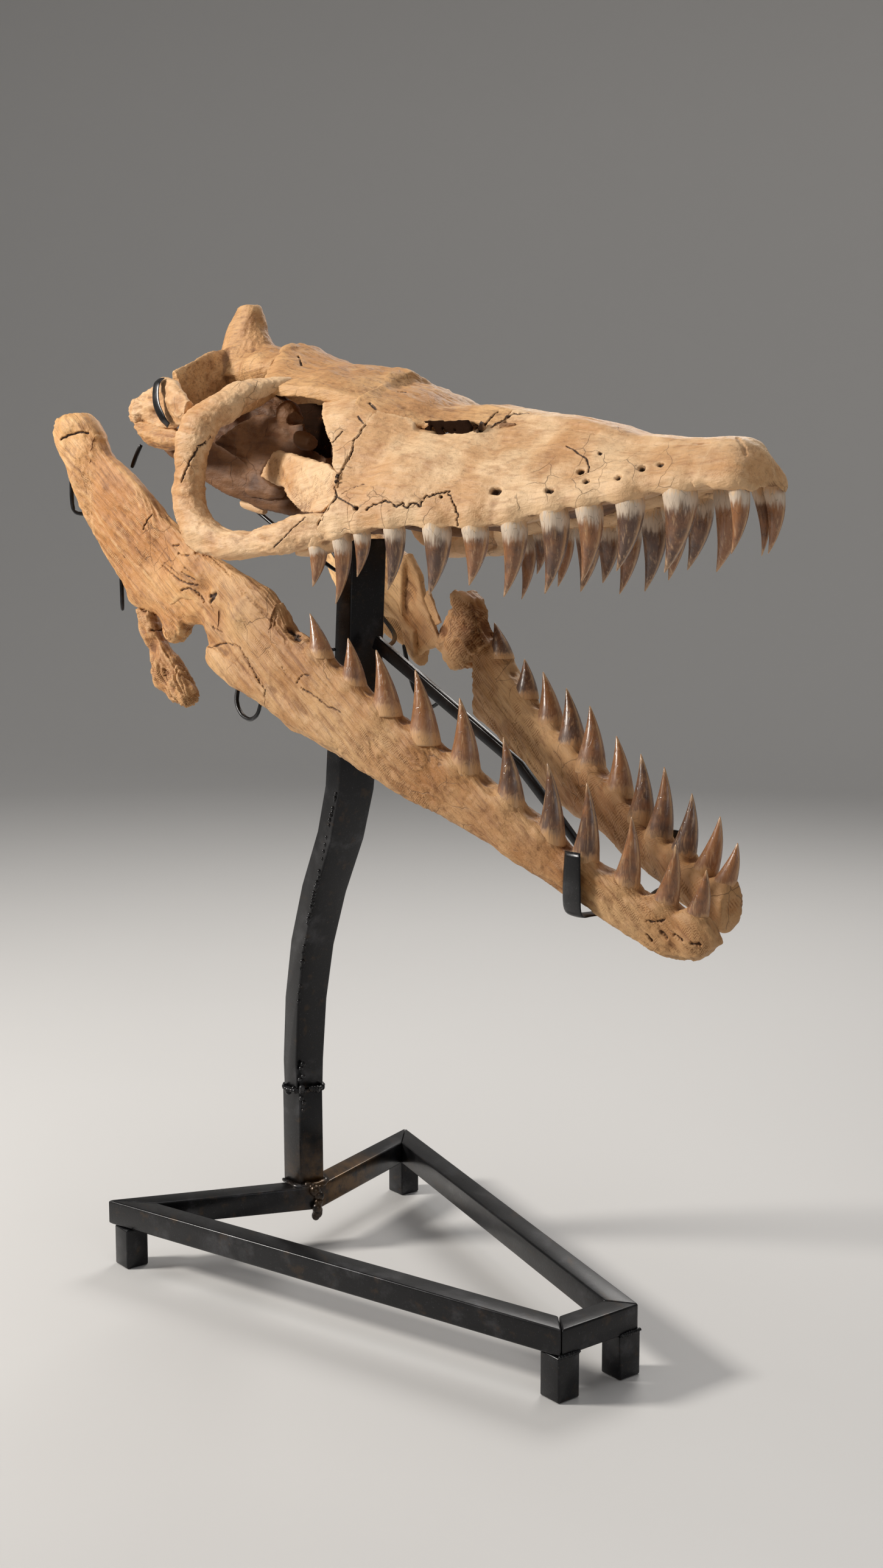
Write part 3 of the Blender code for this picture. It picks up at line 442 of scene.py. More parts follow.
@dataclass(frozen=True)
class EnamelFinish(Finish):
    """Brown enamel that fades into the pale root, glossier than bone, with a painted highlight along the
    keels.
    """

    name: str = "brown_enamel"
    slot: Slot = Slot.TOOTH
    root: Colour = srgb(216, 184, 146)
    collar: Colour = srgb(206, 186, 164)
    brown: Colour = srgb(146, 98, 62)
    dark: Colour = srgb(92, 66, 52)
    horn: Colour = srgb(212, 172, 130)
    bare: float = 0.14
    fade: float = 0.16

    def paint(self) -> bpy.types.Material:
        """Returns: the newly made material."""
        paint = Paint(self.name)
        crown, keel, tone = (paint.attribute(key) for key in ("crown", "keel", "tone"))
        streak = paint.noise(paint.mapped((0.0, 0.0, 0.0), (1.0, 1.0, 0.1)), 420.0, 4.0, 0.6)
        cloud = paint.noise(paint.place(), 70.0, 4.0, 0.6)
        edge = crown + (cloud - 0.5) * 0.22 + (streak - 0.5) * 0.42
        enamel = paint.mix((tone + (cloud - 0.5) * 1.3).step(0.25, 0.85), self.brown, self.dark)
        enamel = paint.mix(streak.step(0.5, 0.75) * 0.5, enamel, self.horn)
        # A painted highlight: the pale horn tone laid along the keels at the front and back of each tooth.
        enamel = paint.mix(keel * 0.75, enamel, self.horn)
        enamel = paint.mix(edge.step(0.78, 1.05) * 0.7, enamel, self.horn)
        colour = paint.mix(edge.step(0.0, 0.08), self.root, self.collar)
        colour = paint.mix(edge.step(self.bare, self.bare + self.fade), colour, enamel)
        cracks = paint.crackle(paint.mapped((0.0, 0.0, 0.0), (1.0, 1.0, 0.22)), 260.0, 0.04) * 0.5
        colour = paint.mix(cracks * 0.6, colour, srgb(50, 32, 22))
        normal = paint.bump(streak * 0.5 + cloud * 0.3 - cracks, 0.3, 0.0006)
        rough = 0.56 - edge.step(0.12, 0.35) * 0.3 + (cloud - 0.5) * 0.15
        return paint.feed(Base_Color=colour, Roughness=rough, Normal=normal, Coat_Weight=0.22,
                          Coat_Roughness=0.25)


@dataclass(frozen=True)
class SteelFinish(Finish):
    """Oiled black steel with bare glints, weld soot and a brown heat tint by the post."""

    name: str = "oiled_black_steel"
    slot: Slot = Slot.STEEL
    black: Colour = srgb(25, 25, 27)
    worn: Colour = srgb(76, 76, 79)
    brown: Colour = srgb(74, 56, 36)
    tint: Colour = srgb(112, 82, 46)
    heat_at: Point = (0.066, 0.045, 0.06)
    roughness: float = 0.34

    def paint(self) -> bpy.types.Material:
        """Returns: the newly made material."""
        paint = Paint(self.name)
        cloud = paint.noise(paint.warped(paint.place(), 12.0, 0.02), 24.0, 6.0, 0.65)
        smear = paint.noise(paint.mapped((0.0, 0.0, 0.4), (0.25, 1.0, 1.0)), 90.0, 5.0, 0.6)
        pit = paint.noise(paint.place(), 640.0, 3.0, 0.6)
        colour = paint.mix(cloud.step(0.5, 0.74) * 0.65, self.black, self.worn)
        colour = paint.mix(smear.step(0.56, 0.72) * 0.4, colour, self.brown)
        heat = paint.node("ShaderNodeVectorMath", {"operation": "DISTANCE"},
                          {0: paint.place(), 1: (MOUNT_SHIFT + self.heat_at[0], *self.heat_at[1:])}, 1)
        tint = (1.0 - (heat + (cloud - 0.5) * 0.06).step(0.02, 0.085)) * smear.step(0.3, 0.62)
        colour = paint.mix(tint * 0.85, colour, self.tint)
        colour = paint.mix(pit.step(0.6, 0.74) * 0.5, colour, self.worn)
        normal = paint.bump(cloud * 0.5 + pit * 0.35 + smear * 0.3, 0.32, 0.0009)
        rough = self.roughness + (cloud - 0.5) * 0.34 + (smear - 0.5) * 0.2
        return paint.feed(Base_Color=colour, Roughness=rough, Normal=normal, Metallic=0.72,
                          Coat_Weight=0.25, Coat_Roughness=0.2)


ENAMEL = EnamelFinish()
JAW_ENAMEL = EnamelFinish("jaw_enamel", root=srgb(196, 150, 102), collar=srgb(214, 172, 126),
                          bare=-0.04, fade=0.18)
STEEL = SteelFinish()


# ---- modelling ---------------------------------------------------------------------------------
def add_shell(builder: bmesh.types.BMesh, rings: Rings) -> None:
    """Bridges rings of equal length into one closed shell.

    Args:
        builder: the bmesh to add to.
        rings: closed outlines, each a list of points in order.
    """
    loops = []
    for ring in rings:
        made = bmesh.ops.create_circle(builder, cap_ends=False, segments=len(ring), radius=1.0)["verts"]
        for vert, point in zip(made, ring):
            vert.co = point
        loops.append(list({edge for vert in made for edge in vert.link_edges}))
    for near, far in zip(loops, loops[1:]):
        bmesh.ops.bridge_loops(builder, edges=near + far)
    for cap in (loops[0], loops[-1]):
        bmesh.ops.holes_fill(builder, edges=cap, sides=0)


def bar_rings(stations: Sequence[Sequence[float]], up: Point = (0.0, 0.0, 1.0), sides: int = 20,
              steps: int = 6, square: float = 1.0) -> Rings:
    """Oval rings along a smoothed path.

    Args:
        stations: rows of x, y, z, half width sideways and half height.
        up: which way the height runs.
        sides: points in a ring.
        steps: rings made from each station to the next.
        square: 1 for an oval, less for a boxier outline.

    Returns:
        The rings.
    """
    rows = eased(stations, steps)
    centres = [Vector(row[:3]) for row in rows]
    rings = []
    for i, row in enumerate(rows):
        along = (centres[min(i + 1, len(rows) - 1)] - centres[max(i - 1, 0)]).normalized()
        across = along.cross(Vector(up)).normalized()
        above = across.cross(along).normalized()
        ring = []
        for k in range(sides):
            turn = 2 * math.pi * (k + 0.5) / sides
            c, s = math.cos(turn), math.sin(turn)
            c, s = math.copysign(abs(c) ** square, c), math.copysign(abs(s) ** square, s)
            ring.append(tuple(centres[i] + across * c * row[3] + above * s * row[4]))
        rings.append(ring)
    return rings


def to_side(rings: Rings, side: Side) -> Rings:
    """Args: rings: with outward as +Y. side: the wanted one. Returns: the rings on that side."""
    return [[(x, y * side.value, z) for x, y, z in ring] for ring in rings]


def side_bar(stations: Sequence[Sequence[float]], side: Side, **shape: object) -> Rings:
    """Args: stations, shape: as for bar_rings. side: the wanted one. Returns: the rings on that side."""
    return to_side(bar_rings(stations, **shape), side)


def new_object(name: str, builder: bmesh.types.BMesh) -> bpy.types.Object:
    """Args: name: the piece's. builder: its bmesh, which is freed. Returns: the linked object."""
    mesh = bpy.data.meshes.new(name)
    bmesh.ops.recalc_face_normals(builder, faces=builder.faces)
    builder.to_mesh(mesh)
    builder.free()
    obj = bpy.data.objects.new(name, mesh)
    bpy.context.scene.collection.objects.link(obj)
    return obj


def settle(obj: bpy.types.Object) -> None:
    """Args: obj: whose live modifiers are worked into its mesh."""
    graph = bpy.context.evaluated_depsgraph_get()
    mesh = bpy.data.meshes.new_from_object(obj.evaluated_get(graph), depsgraph=graph)
    old, obj.data = obj.data, mesh
    obj.modifiers.clear()
    bpy.data.meshes.remove(old)
    mesh.name = obj.name


def hand_over(obj: bpy.types.Object, finish: Finish, nodes: Iterable[str]) -> None:
    """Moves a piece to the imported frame, paints it and ties it to the root body.

    Args:
        obj: the piece, in the mount's own frame.
        finish: its finish.
        nodes: the CAD nodes that it stands for.
    """
    obj.data.transform(Matrix.Translation((MOUNT_SHIFT, 0.0, 0.0)))
    obj.data.materials.clear()
    obj.data.materials.append(finish.material())
    obj.data.polygons.foreach_set("use_smooth", np.ones(len(obj.data.polygons), bool))
    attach(obj, "root")
    nodes = list(nodes)
    if nodes:
        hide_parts(*nodes)
    LOG.info("%s: %d faces", obj.name, len(obj.data.polygons))


@dataclass(frozen=True)
class Lump:
    """A soft swelling, or a hollow where height is below zero."""

    place: Point
    reach: float
    height: float


def swellings(rows: Iterable[Sequence[float]], flip: float = 1.0) -> list[Lump]:
    """Args: rows: of x, y, z, reach and height. flip: turns Y to a side. Returns: the lumps."""
    return [Lump((x, y * flip, z), reach, height) for x, y, z, reach, height in rows]


def paired(*rows: Sequence[float]) -> list[Lump]:
    """Args: rows: of x, y, z, reach and height. Returns: the lumps on both sides."""
    return [lump for side in Side for lump in swellings(rows, side.value)]


@dataclass(frozen=True)
class Mark:
    """A crack, suture, pit or hole, laid through places in the main view's picture."""

    places: tuple[tuple[float, float], ...]
    width: float = 0.0009
    depth: float = 0.0016
    jag: float = 0.001
    dark: float = 1.0


class Fossil:
    """One bone under way: shells, then a fine even mesh that is carved and aged."""

    def __init__(self, name: str, finish: BoneFinish, shells: Sequence[Rings], voxel: float = FINE,
                 nodes: Sequence[str] | None = None, grain: Point = (1.0, 0.0, -0.15),
                 lumps: Sequence[Lump] = (), rough: float = 1.0, flakes: float = 0.0,
                 rounding: int = 4, seed: int = 0) -> None:
        """Starts the bone and makes its even mesh.

        Args:
            name: of the piece.
            finish: its finish.
            shells: closed shells that are welded together.
            voxel: size of a face.
            nodes: CAD nodes that it stands for, or none for the one of its own name.
            grain: the way that its fibres run.
            lumps: swellings and hollows.
            rough: scales the fine relief.
            flakes: height of the flaking layers.
            rounding: passes that soften the edges.
            seed: which pattern of relief.
        """
        self.name, self.finish, self.nodes = name, finish, [name] if nodes is None else list(nodes)
        self.rough, self.flakes, self.seed = rough, flakes, seed
        self.grain = np.array(Vector(grain).normalized())
        builder = bmesh.new()
        for shell in shells:
            add_shell(builder, shell)
        self.obj = new_object(name + "_bone", builder)
        remesh = self.obj.modifiers.new("even", "REMESH")
        remesh.mode, remesh.voxel_size = "VOXEL", voxel
        smooth = self.obj.modifiers.new("round", "SMOOTH")
        smooth.factor, smooth.iterations = 0.5, rounding
        settle(self.obj)
        self.read()
        self.swell(lumps)
        self.weather()

    def read(self) -> None:
        """Reads the mesh into arrays."""
        mesh = self.obj.data
        self.points = np.empty(len(mesh.vertices) * 3, np.float32)
        mesh.vertices.foreach_get("co", self.points)
        self.points = self.points.reshape(-1, 3).astype(float)
        self.normals = np.empty(len(mesh.vertices) * 3, np.float32)
        mesh.vertex_normals.foreach_get("vector", self.normals)
        self.normals = self.normals.reshape(-1, 3).astype(float)
        self.edges = np.empty(len(mesh.edges) * 2, np.int32)
        mesh.edges.foreach_get("vertices", self.edges)
        self.edges = self.edges.reshape(-1, 2)
        if len(getattr(self, "dark", ())) != len(self.points):
            self.dark = np.zeros(len(self.points))

    def write(self) -> None:
        """Writes the moved points back."""
        self.obj.data.vertices.foreach_set("co", self.points.astype(np.float32).ravel())
        self.obj.data.update()

    def push(self, height: np.ndarray) -> None:
        """Args: height: how far each point moves along its normal."""
        self.points += self.normals * height[:, None]
        self.write()
        self.read()

    def mean_of_neighbours(self, values: np.ndarray) -> np.ndarray:
        """Args: values: one row a point. Returns: the mean over each point's neighbours."""
        a, b = self.edges.T
        count = np.bincount(a, minlength=len(values)) + np.bincount(b, minlength=len(values))
        columns = values.reshape(len(values), -1)
        sums = [np.bincount(a, column[b], len(values)) + np.bincount(b, column[a], len(values))
                for column in columns.T]
        return (np.stack(sums, 1) / np.maximum(count, 1)[:, None]).reshape(values.shape)

    def swell(self, lumps: Sequence[Lump]) -> None:
        """Args: lumps: the swellings and hollows to raise or sink."""
        height = np.zeros(len(self.points))
        for lump in lumps:
            gone = np.linalg.norm(self.points - np.array(lump.place), axis=1) / lump.reach
            height += lump.height * np.clip(1 - gone * gone, 0.0, None) ** 2
        self.push(height)

    def weather(self) -> None:
        """Uneven surface: broad waves, fibres along the grain, and layers that have flaked."""
        along = self.points @ self.grain
        across = self.points - along[:, None] * self.grain
        fibres = across + along[:, None] * self.grain * 0.1
        height = 0.0013 * fractal(self.points, 0.042, 3, self.seed + 11)
        height += 0.00058 * fractal(fibres, 0.006, 3, self.seed + 23)
        height += 0.00022 * fractal(self.points, 0.005, 2, self.seed + 37)
        if self.flakes:
            level = fractal(fibres, 0.021, 3, self.seed + 51) * 3.0
            part = level - np.floor(level)
            layers = np.floor(level) + np.clip((part - 0.78) / 0.22, 0, 1)
            where = np.clip(fractal(self.points, 0.055, 2, self.seed + 61) * 2.4 + 0.5, 0, 1)
            height += self.flakes * where * (layers - level)
        self.push(height * self.rough)

    def refine(self, near: np.ndarray, reach: float = 0.0032) -> None:
        """Args: near: (n, 3) places of marks. reach: how far round them the faces are split."""
        low, high = near.min(0) - reach, near.max(0) + reach
        box = np.all((self.points > low) & (self.points < high), axis=1)
        index = np.flatnonzero(box)
        if not len(index):
            return
        close = np.zeros(len(self.points), bool)
        for start in range(0, len(near), 400):
            some = near[start:start + 400]
            gaps = np.linalg.norm(self.points[index, None] - some[None], axis=2).min(1)
            close[index[gaps < reach]] = True
        builder = bmesh.new()
        builder.from_mesh(self.obj.data)
        builder.verts.ensure_lookup_table()
        chosen = [edge for edge in builder.edges if close[edge.verts[0].index] and close[edge.verts[1].index]]
        if chosen:
            bmesh.ops.subdivide_edges(builder, edges=chosen, cuts=1, use_grid_fill=True)
            builder.to_mesh(self.obj.data)
            self.dark = np.zeros(len(self.obj.data.vertices))
            self.read()
        builder.free()

    def carve(self, places: np.ndarray, mark: Mark) -> None:
        """Args: places: (n, 3) along the mark, close together. mark: its width, depth and darkness."""
        reach = mark.width * 3.0
        box = np.all((self.points > places.min(0) - reach) & (self.points < places.max(0) + reach), axis=1)
        index = np.flatnonzero(box)
        if not len(index):
            return
        gap = np.linalg.norm(self.points[index, None] - places[None], axis=2).min(1)
        gap = gap + 0.25 * mark.jag * lattice_noise(self.points[index] / 0.0022, 5)
        sunk = np.exp(-(np.clip(gap, 0, None) / mark.width) ** 4)
        self.points[index] -= self.normals[index] * (sunk * mark.depth)[:, None]
        self.dark[index] = np.maximum(self.dark[index], sunk * mark.dark)

    def complete(self) -> None:
        """Stores the masks of dirt and painted shade in the hollows, of painted highlight on the ridges and
        of the marks, and hands the bone over.
        """
        self.write()
        self.read()
        bend = self.normals * (self.mean_of_neighbours(self.points) - self.points)
        bend = bend.sum(1)
        for _ in range(2):
            bend = self.mean_of_neighbours(bend)
        wide = bend.copy()
        for _ in range(10):
            wide = self.mean_of_neighbours(wide)
        share = (bend * 0.5 + wide * 1.6) * (1 / FULL_BEND)
        # hollow carries dirt and painted shade, ridge a pale painted highlight
        hollow, ridge = np.clip(share, 0, 1), np.clip(-share * 0.7, 0, 1)
        for key, values in (("hollow", hollow), ("ridge", ridge), ("mark", self.dark)):
            layer = self.obj.data.attributes.new(key, "FLOAT", "POINT")
            layer.data.foreach_set("value", values.astype(np.float32))
        hand_over(self.obj, self.finish, self.nodes)


@dataclass(frozen=True)
class Slab:
    """A thin broken plate, outlined by places in the main view's picture, each with its own Y."""

    places: tuple[tuple[float, float, float], ...]
    thick: float

    def rings(self, side: Side) -> Rings:
        """Args: side: the wanted one. Returns: the two faces of the plate on that side."""
        points = [VIEW.at_depth(*place) for place in self.places]
        flip = -1.0 if points[0].y * side.value < 0 else 1.0
        return [[(p.x, (p.y + shift) * flip, p.z) for p in points]
                for shift in (-self.thick / 2, self.thick / 2)]


# ---- skull -------------------------------------------------------------------------------------
@dataclass(frozen=True)
class Face:
    """The snout's own lines along X, in the mount's frame."""

    roof: Profile = Profile(
        (0.04, 0.938), (0.074, 0.944), (0.083, 0.943), (0.106, 0.934), (0.14, 0.923), (0.2, 0.915),
        (0.262, 0.904), (0.267, 0.893), (0.292, 0.887), (0.319, 0.878), (0.345, 0.868), (0.4, 0.865),
        (0.45, 0.857), (0.529, 0.844), (0.582, 0.831), (0.65, 0.827), (0.682, 0.825), (0.698, 0.815),
        (0.706, 0.803), (0.71, 0.79))
    crest: Profile = Profile((0.262, 0.014), (0.267, 0.004), (0.292, 0.005), (0.319, 0.004), (0.345, 0.001),
                             (0.4, 0.0))  # the midline's height over the line that the sides leave from
    crest_spread: float = 0.35
    margin: Profile = Profile(
        (0.24, 0.742), (0.265, 0.741), (0.308, 0.75), (0.369, 0.758), (0.438, 0.757), (0.484, 0.76),
        (0.521, 0.769), (0.584, 0.777), (0.64, 0.785), (0.698, 0.785), (0.71, 0.779))
    half_width: Profile = Profile(
        (0.24, 0.128), (0.265, 0.125), (0.308, 0.117), (0.369, 0.107), (0.438, 0.088), (0.484, 0.075),
        (0.521, 0.066), (0.584, 0.051), (0.64, 0.037), (0.68, 0.032), (0.698, 0.026), (0.71, 0.015))
    shoulder: Profile = Profile(
        (0.24, 0.068), (0.262, 0.064), (0.3, 0.056), (0.345, 0.04), (0.4, 0.031), (0.45, 0.027),
        (0.53, 0.025), (0.6, 0.022), (0.664, 0.021), (0.694, 0.015), (0.71, 0.006))
    drop: Profile = Profile(
        (0.24, 0.02), (0.262, 0.014), (0.345, 0.011), (0.45, 0.012), (0.6, 0.01), (0.71, 0.006))
    nasal_edge: Profile = Profile(
        (0.262, 0.385), (0.3, 0.415), (0.33, 0.41), (0.4, 0.39), (0.425, 0.39), (0.45, 0.364), (0.664, 0.3))
    maxilla_edge: Profile = Profile(
        (0.262, 0.384), (0.3, 0.413), (0.33, 0.418), (0.341, 0.478), (0.4, 0.478), (0.41, 0.44),
        (0.422, 0.392), (0.45, 0.364), (0.664, 0.3))
    cheek_crack: Profile = Profile(
        (0.38, 0.292), (0.47, 0.292), (0.54, 0.29), (0.66, 0.292), (0.73, 0.292), (0.78, 0.297),
        (0.85, 0.291), (0.91, 0.284), (1.0, 0.267))
    orbit_front: Profile = Profile(
        (0.33, 0.204), (0.42, 0.224), (0.49, 0.244), (0.56, 0.262), (0.61, 0.274), (0.66, 0.283),
        (0.72, 0.287))
    shell: float = 0.01
    tuck_depth: float = 0.0014
    roof_tuck: Profile = Profile((0.262, 0.05), (0.326, 0.05), (0.337, 0.004), (0.408, 0.004), (0.418, 0.04))
    tooth_shelf: float = 0.03
    tooth_inset: float = 0.0085

    def point(self, x: float, share: float) -> tuple[float, float]:
        """Args: x: along the snout. share: 0 the roof's midline, 1 the tooth margin. Returns: (y, z)."""
        top, low = self.roof(x), self.margin(x)
        side = top - self.crest(x)
        wide, ridge, drop = self.half_width(x), self.shoulder(x), self.drop(x)
        across = Profile((0.0, 0.0), (0.18, 0.55 * ridge), (0.36, ridge),
                         (0.66, ridge + 0.74 * (wide - ridge)), (0.9, wide + 0.002), (1.0, wide))
        height = Profile((0.0, top), (0.18, side + self.crest_spread * (top - side) - 0.15 * drop),
                         (0.36, side - drop), (0.66, low + 0.45 * (side - low)),
                         (0.9, low + 0.13 * (side - low)), (1.0, low))
        return across(share), height(share)

    def inward(self, x: float, share: float, depth: float) -> tuple[float, float]:
        """Args: x, share: as for point. depth: how far in. Returns: (y, z) sunk into the bone."""
        ahead, behind = self.point(x, min(share + 0.03, 1.0)), self.point(x, max(share - 0.03, 0.0))
        run, rise = ahead[0] - behind[0], ahead[1] - behind[1]
        size = math.hypot(run, rise)
        y, z = self.point(x, share)
        return y + rise / size * depth, z - run / size * depth

    def roof_strip(self, x: float, edge: float, depth: float, tuck: float) -> list[Point]:
        """Makes a ring over the midline.

        Args:
            x: where along the snout.
            edge: share at which its sides show last.
            depth: its thickness.
            tuck: share by which it runs on beneath the cheek.

        Returns:
            The ring there.
        """
        shares = [edge + tuck, edge + tuck / 2, *np.linspace(edge, 0.0, 10)]
        outer = [self.inward(x, share, self.tuck_depth) if share > edge else self.point(x, share)
                 for share in shares]
        inner = [self.inward(x, share, depth) for share in shares]
        top = outer + [(-y, z) for y, z in reversed(outer[:-1])]
        under = inner + [(-y, z) for y, z in reversed(inner[:-1])]
        return [(x, y, z) for y, z in top + list(reversed(under))]


FACE = Face()


@dataclass
class SkullRoof:
    """The bones of the midline: premaxilla, frontal with the nasals, and parietal."""

    nose_start: float = 0.66
    nose_end: float = 0.7065
    frontal_start: float = 0.074
    step: float = 0.262
    frontal_half: Profile = Profile(
        (0.074, 0.03), (0.088, 0.044), (0.108, 0.063), (0.135, 0.077), (0.19, 0.073), (0.225, 0.068),
        (0.262, 0.063))
    frontal_rim: Profile = Profile(
        (0.074, 0.924), (0.088, 0.916), (0.108, 0.904), (0.135, 0.895), (0.19, 0.89), (0.225, 0.884),
        (0.262, 0.876))
    bulge: Profile = Profile((0.19, 0.66), (0.262, 0.42))
    ridges: tuple = (
        (0.216, 0.022, 0.016, 0.003), (0.236, 0.026, 0.014, 0.0035), (0.255, 0.02, 0.014, 0.003),
        (0.249, 0.036, 0.013, 0.003), (0.272, 0.024, 0.015, -0.0025), (0.228, 0.008, 0.016, -0.002))
    table: tuple = (
        (0.0735, 0.0, 0.918, 0.034, 0.016), (0.045, 0.0, 0.918, 0.038, 0.021),
        (0.01, 0.0, 0.922, 0.034, 0.027), (-0.03, 0.0, 0.925, 0.03, 0.027),
        (-0.06, 0.0, 0.92, 0.024, 0.022))
    peak: tuple = (
        (-0.018, 0.0, 0.915, 0.036, 0.056), (-0.018, 0.0, 0.94, 0.028, 0.044),
        (-0.018, 0.0, 0.96, 0.019, 0.031), (-0.016, 0.0, 0.978, 0.014, 0.02),
        (-0.016, 0.0, 0.9885, 0.01, 0.014))
    wing: tuple = (
        (-0.024, 0.0, 0.925, 0.012, 0.024), (-0.022, 0.03, 0.918, 0.009, 0.027),
        (-0.016, 0.06, 0.906, 0.007, 0.026), (-0.012, 0.09, 0.897, 0.007, 0.022))
    inner_strip: tuple = (
        (0.058, 0.088, 0.862, 0.005, 0.006), (0.075, 0.078, 0.872, 0.005, 0.007),
        (0.092, 0.066, 0.882, 0.005, 0.008), (0.1, 0.05, 0.894, 0.006, 0.008),
        (0.085, 0.025, 0.904, 0.008, 0.008))

    def premaxilla(self) -> Fossil:
        """Returns: the blunt nose with the bar that runs back along the midline."""
        rings = []
        for x in spread(self.nose_start, self.nose_end, 0.0035):
            outer = [FACE.point(x, share) for share in spread(0.0, 1.0, 0.08)]
            low = FACE.margin(x) + 0.004
            half = outer + [(0.6 * outer[-1][0], low)]
            other = [(-y, z) for y, z in reversed(half[1:])]
            rings.append([(x, y, z) for y, z in half + [(0.0, low)] + other])
        bar = [FACE.roof_strip(x, FACE.nasal_edge(x) if x < 0.64 else 0.27, FACE.shell, 0.03)
               for x in spread(0.4258, 0.672, 0.006)]
        lumps = paired((0.692, 0.027, 0.797, 0.022, 0.0025), (0.668, 0.032, 0.782, 0.012, -0.005))
        lumps += swellings(((0.706, 0.0, 0.805, 0.013, -0.0015), (0.686, 0.0, 0.826, 0.012, -0.0012)))
        return Fossil("premaxilla", PALE_BONE, [rings, bar], lumps=lumps, seed=13, flakes=0.0003)

    def frontal_ring(self, x: float) -> list[Point]:
        """Args: x: along the table between the eyes. Returns: the ring there."""
        half, rim, top = self.frontal_half(x), self.frontal_rim(x), FACE.roof(x)
        outer = Profile((0.0, top), (0.62 * half, rim + self.bulge(x) * (top - rim)), (half, rim))
        inner = Profile((0.0, top - 0.024), (0.62 * half, rim - 0.008), (half, rim - 0.01))
        ys = spread(half, 0.0, half / 9)
        up = [(y, outer(y)) for y in ys] + [(-y, outer(y)) for y in reversed(ys[:-1])]
        down = [(y, inner(y)) for y in ys] + [(-y, inner(y)) for y in reversed(ys[:-1])]
        return [(x, y, z) for y, z in up + list(reversed(down))]

    def frontal(self) -> Fossil:
        """Returns: the table between the eyes and the strip in front of it."""
        rings = [self.frontal_ring(x) for x in spread(self.frontal_start, self.step, 0.005)]
        rings += [FACE.roof_strip(x, FACE.nasal_edge(x) + 0.01, 0.012, FACE.roof_tuck(x))
                  for x in [self.step + 0.0035] + spread(0.27, 0.427, 0.005)]
        lumps = paired((0.15, 0.045, 0.915, 0.04, -0.004), (0.215, 0.036, 0.91, 0.03, -0.0025),
                       (0.082, 0.018, 0.94, 0.016, 0.003))
        lumps += swellings((x, -y, FACE.roof(x), reach, height) for x, y, reach, height in self.ridges)
        return Fossil("frontal", TAN_BONE, [rings], lumps=lumps, flakes=0.0008, seed=13, rounding=2)

    def parietal(self) -> Fossil:
        """Returns: the table behind the eyes with its peak and its two wings."""
        shells = [bar_rings(self.table), bar_rings(self.peak, up=(1.0, 0.0, 0.0), square=0.8)]
        shells += [side_bar(self.wing, side) for side in Side]
        shells += [side_bar(self.inner_strip, side) for side in Side]
        lumps = paired((0.012, 0.03, 0.945, 0.036, -0.006), (-0.042, 0.03, 0.936, 0.034, -0.005),
                       (-0.01, 0.062, 0.912, 0.03, -0.003), (0.03, 0.034, 0.93, 0.022, 0.002))
        return Fossil("parietal", TAN_BONE, shells, lumps=lumps, seed=7, grain=(0.2, 0.2, 1.0),
                      flakes=0.0005, rounding=9)


GAP_HEIGHT = -0.003  # of the hollows between teeth


def tooth_lumps(teeth: Sequence["Crown"], shift: Point, ratio: float, height: float, rise: float,
                reach: float) -> list[Lump]:
    """Makes a swelling round each tooth and a hollow between every two.

    Args:
        teeth: of one bone.
        shift: from a tooth's base to its swelling.
        ratio: a swelling's reach over the tooth's radius.
        height: of the swellings.
        rise: of a hollow over the teeth's bases.
        reach: of a hollow.

    Returns:
        The swellings, then the hollows.
    """
    out = [Lump(tuple(at + off for at, off in zip(crown.base, shift)), crown.radius * ratio, height)
           for crown in teeth]
    middles = [(a.base + b.base) / 2 for a, b in zip(teeth, teeth[1:])]
    return out + [Lump((middle.x, middle.y, middle.z + rise), reach, GAP_HEIGHT) for middle in middles]


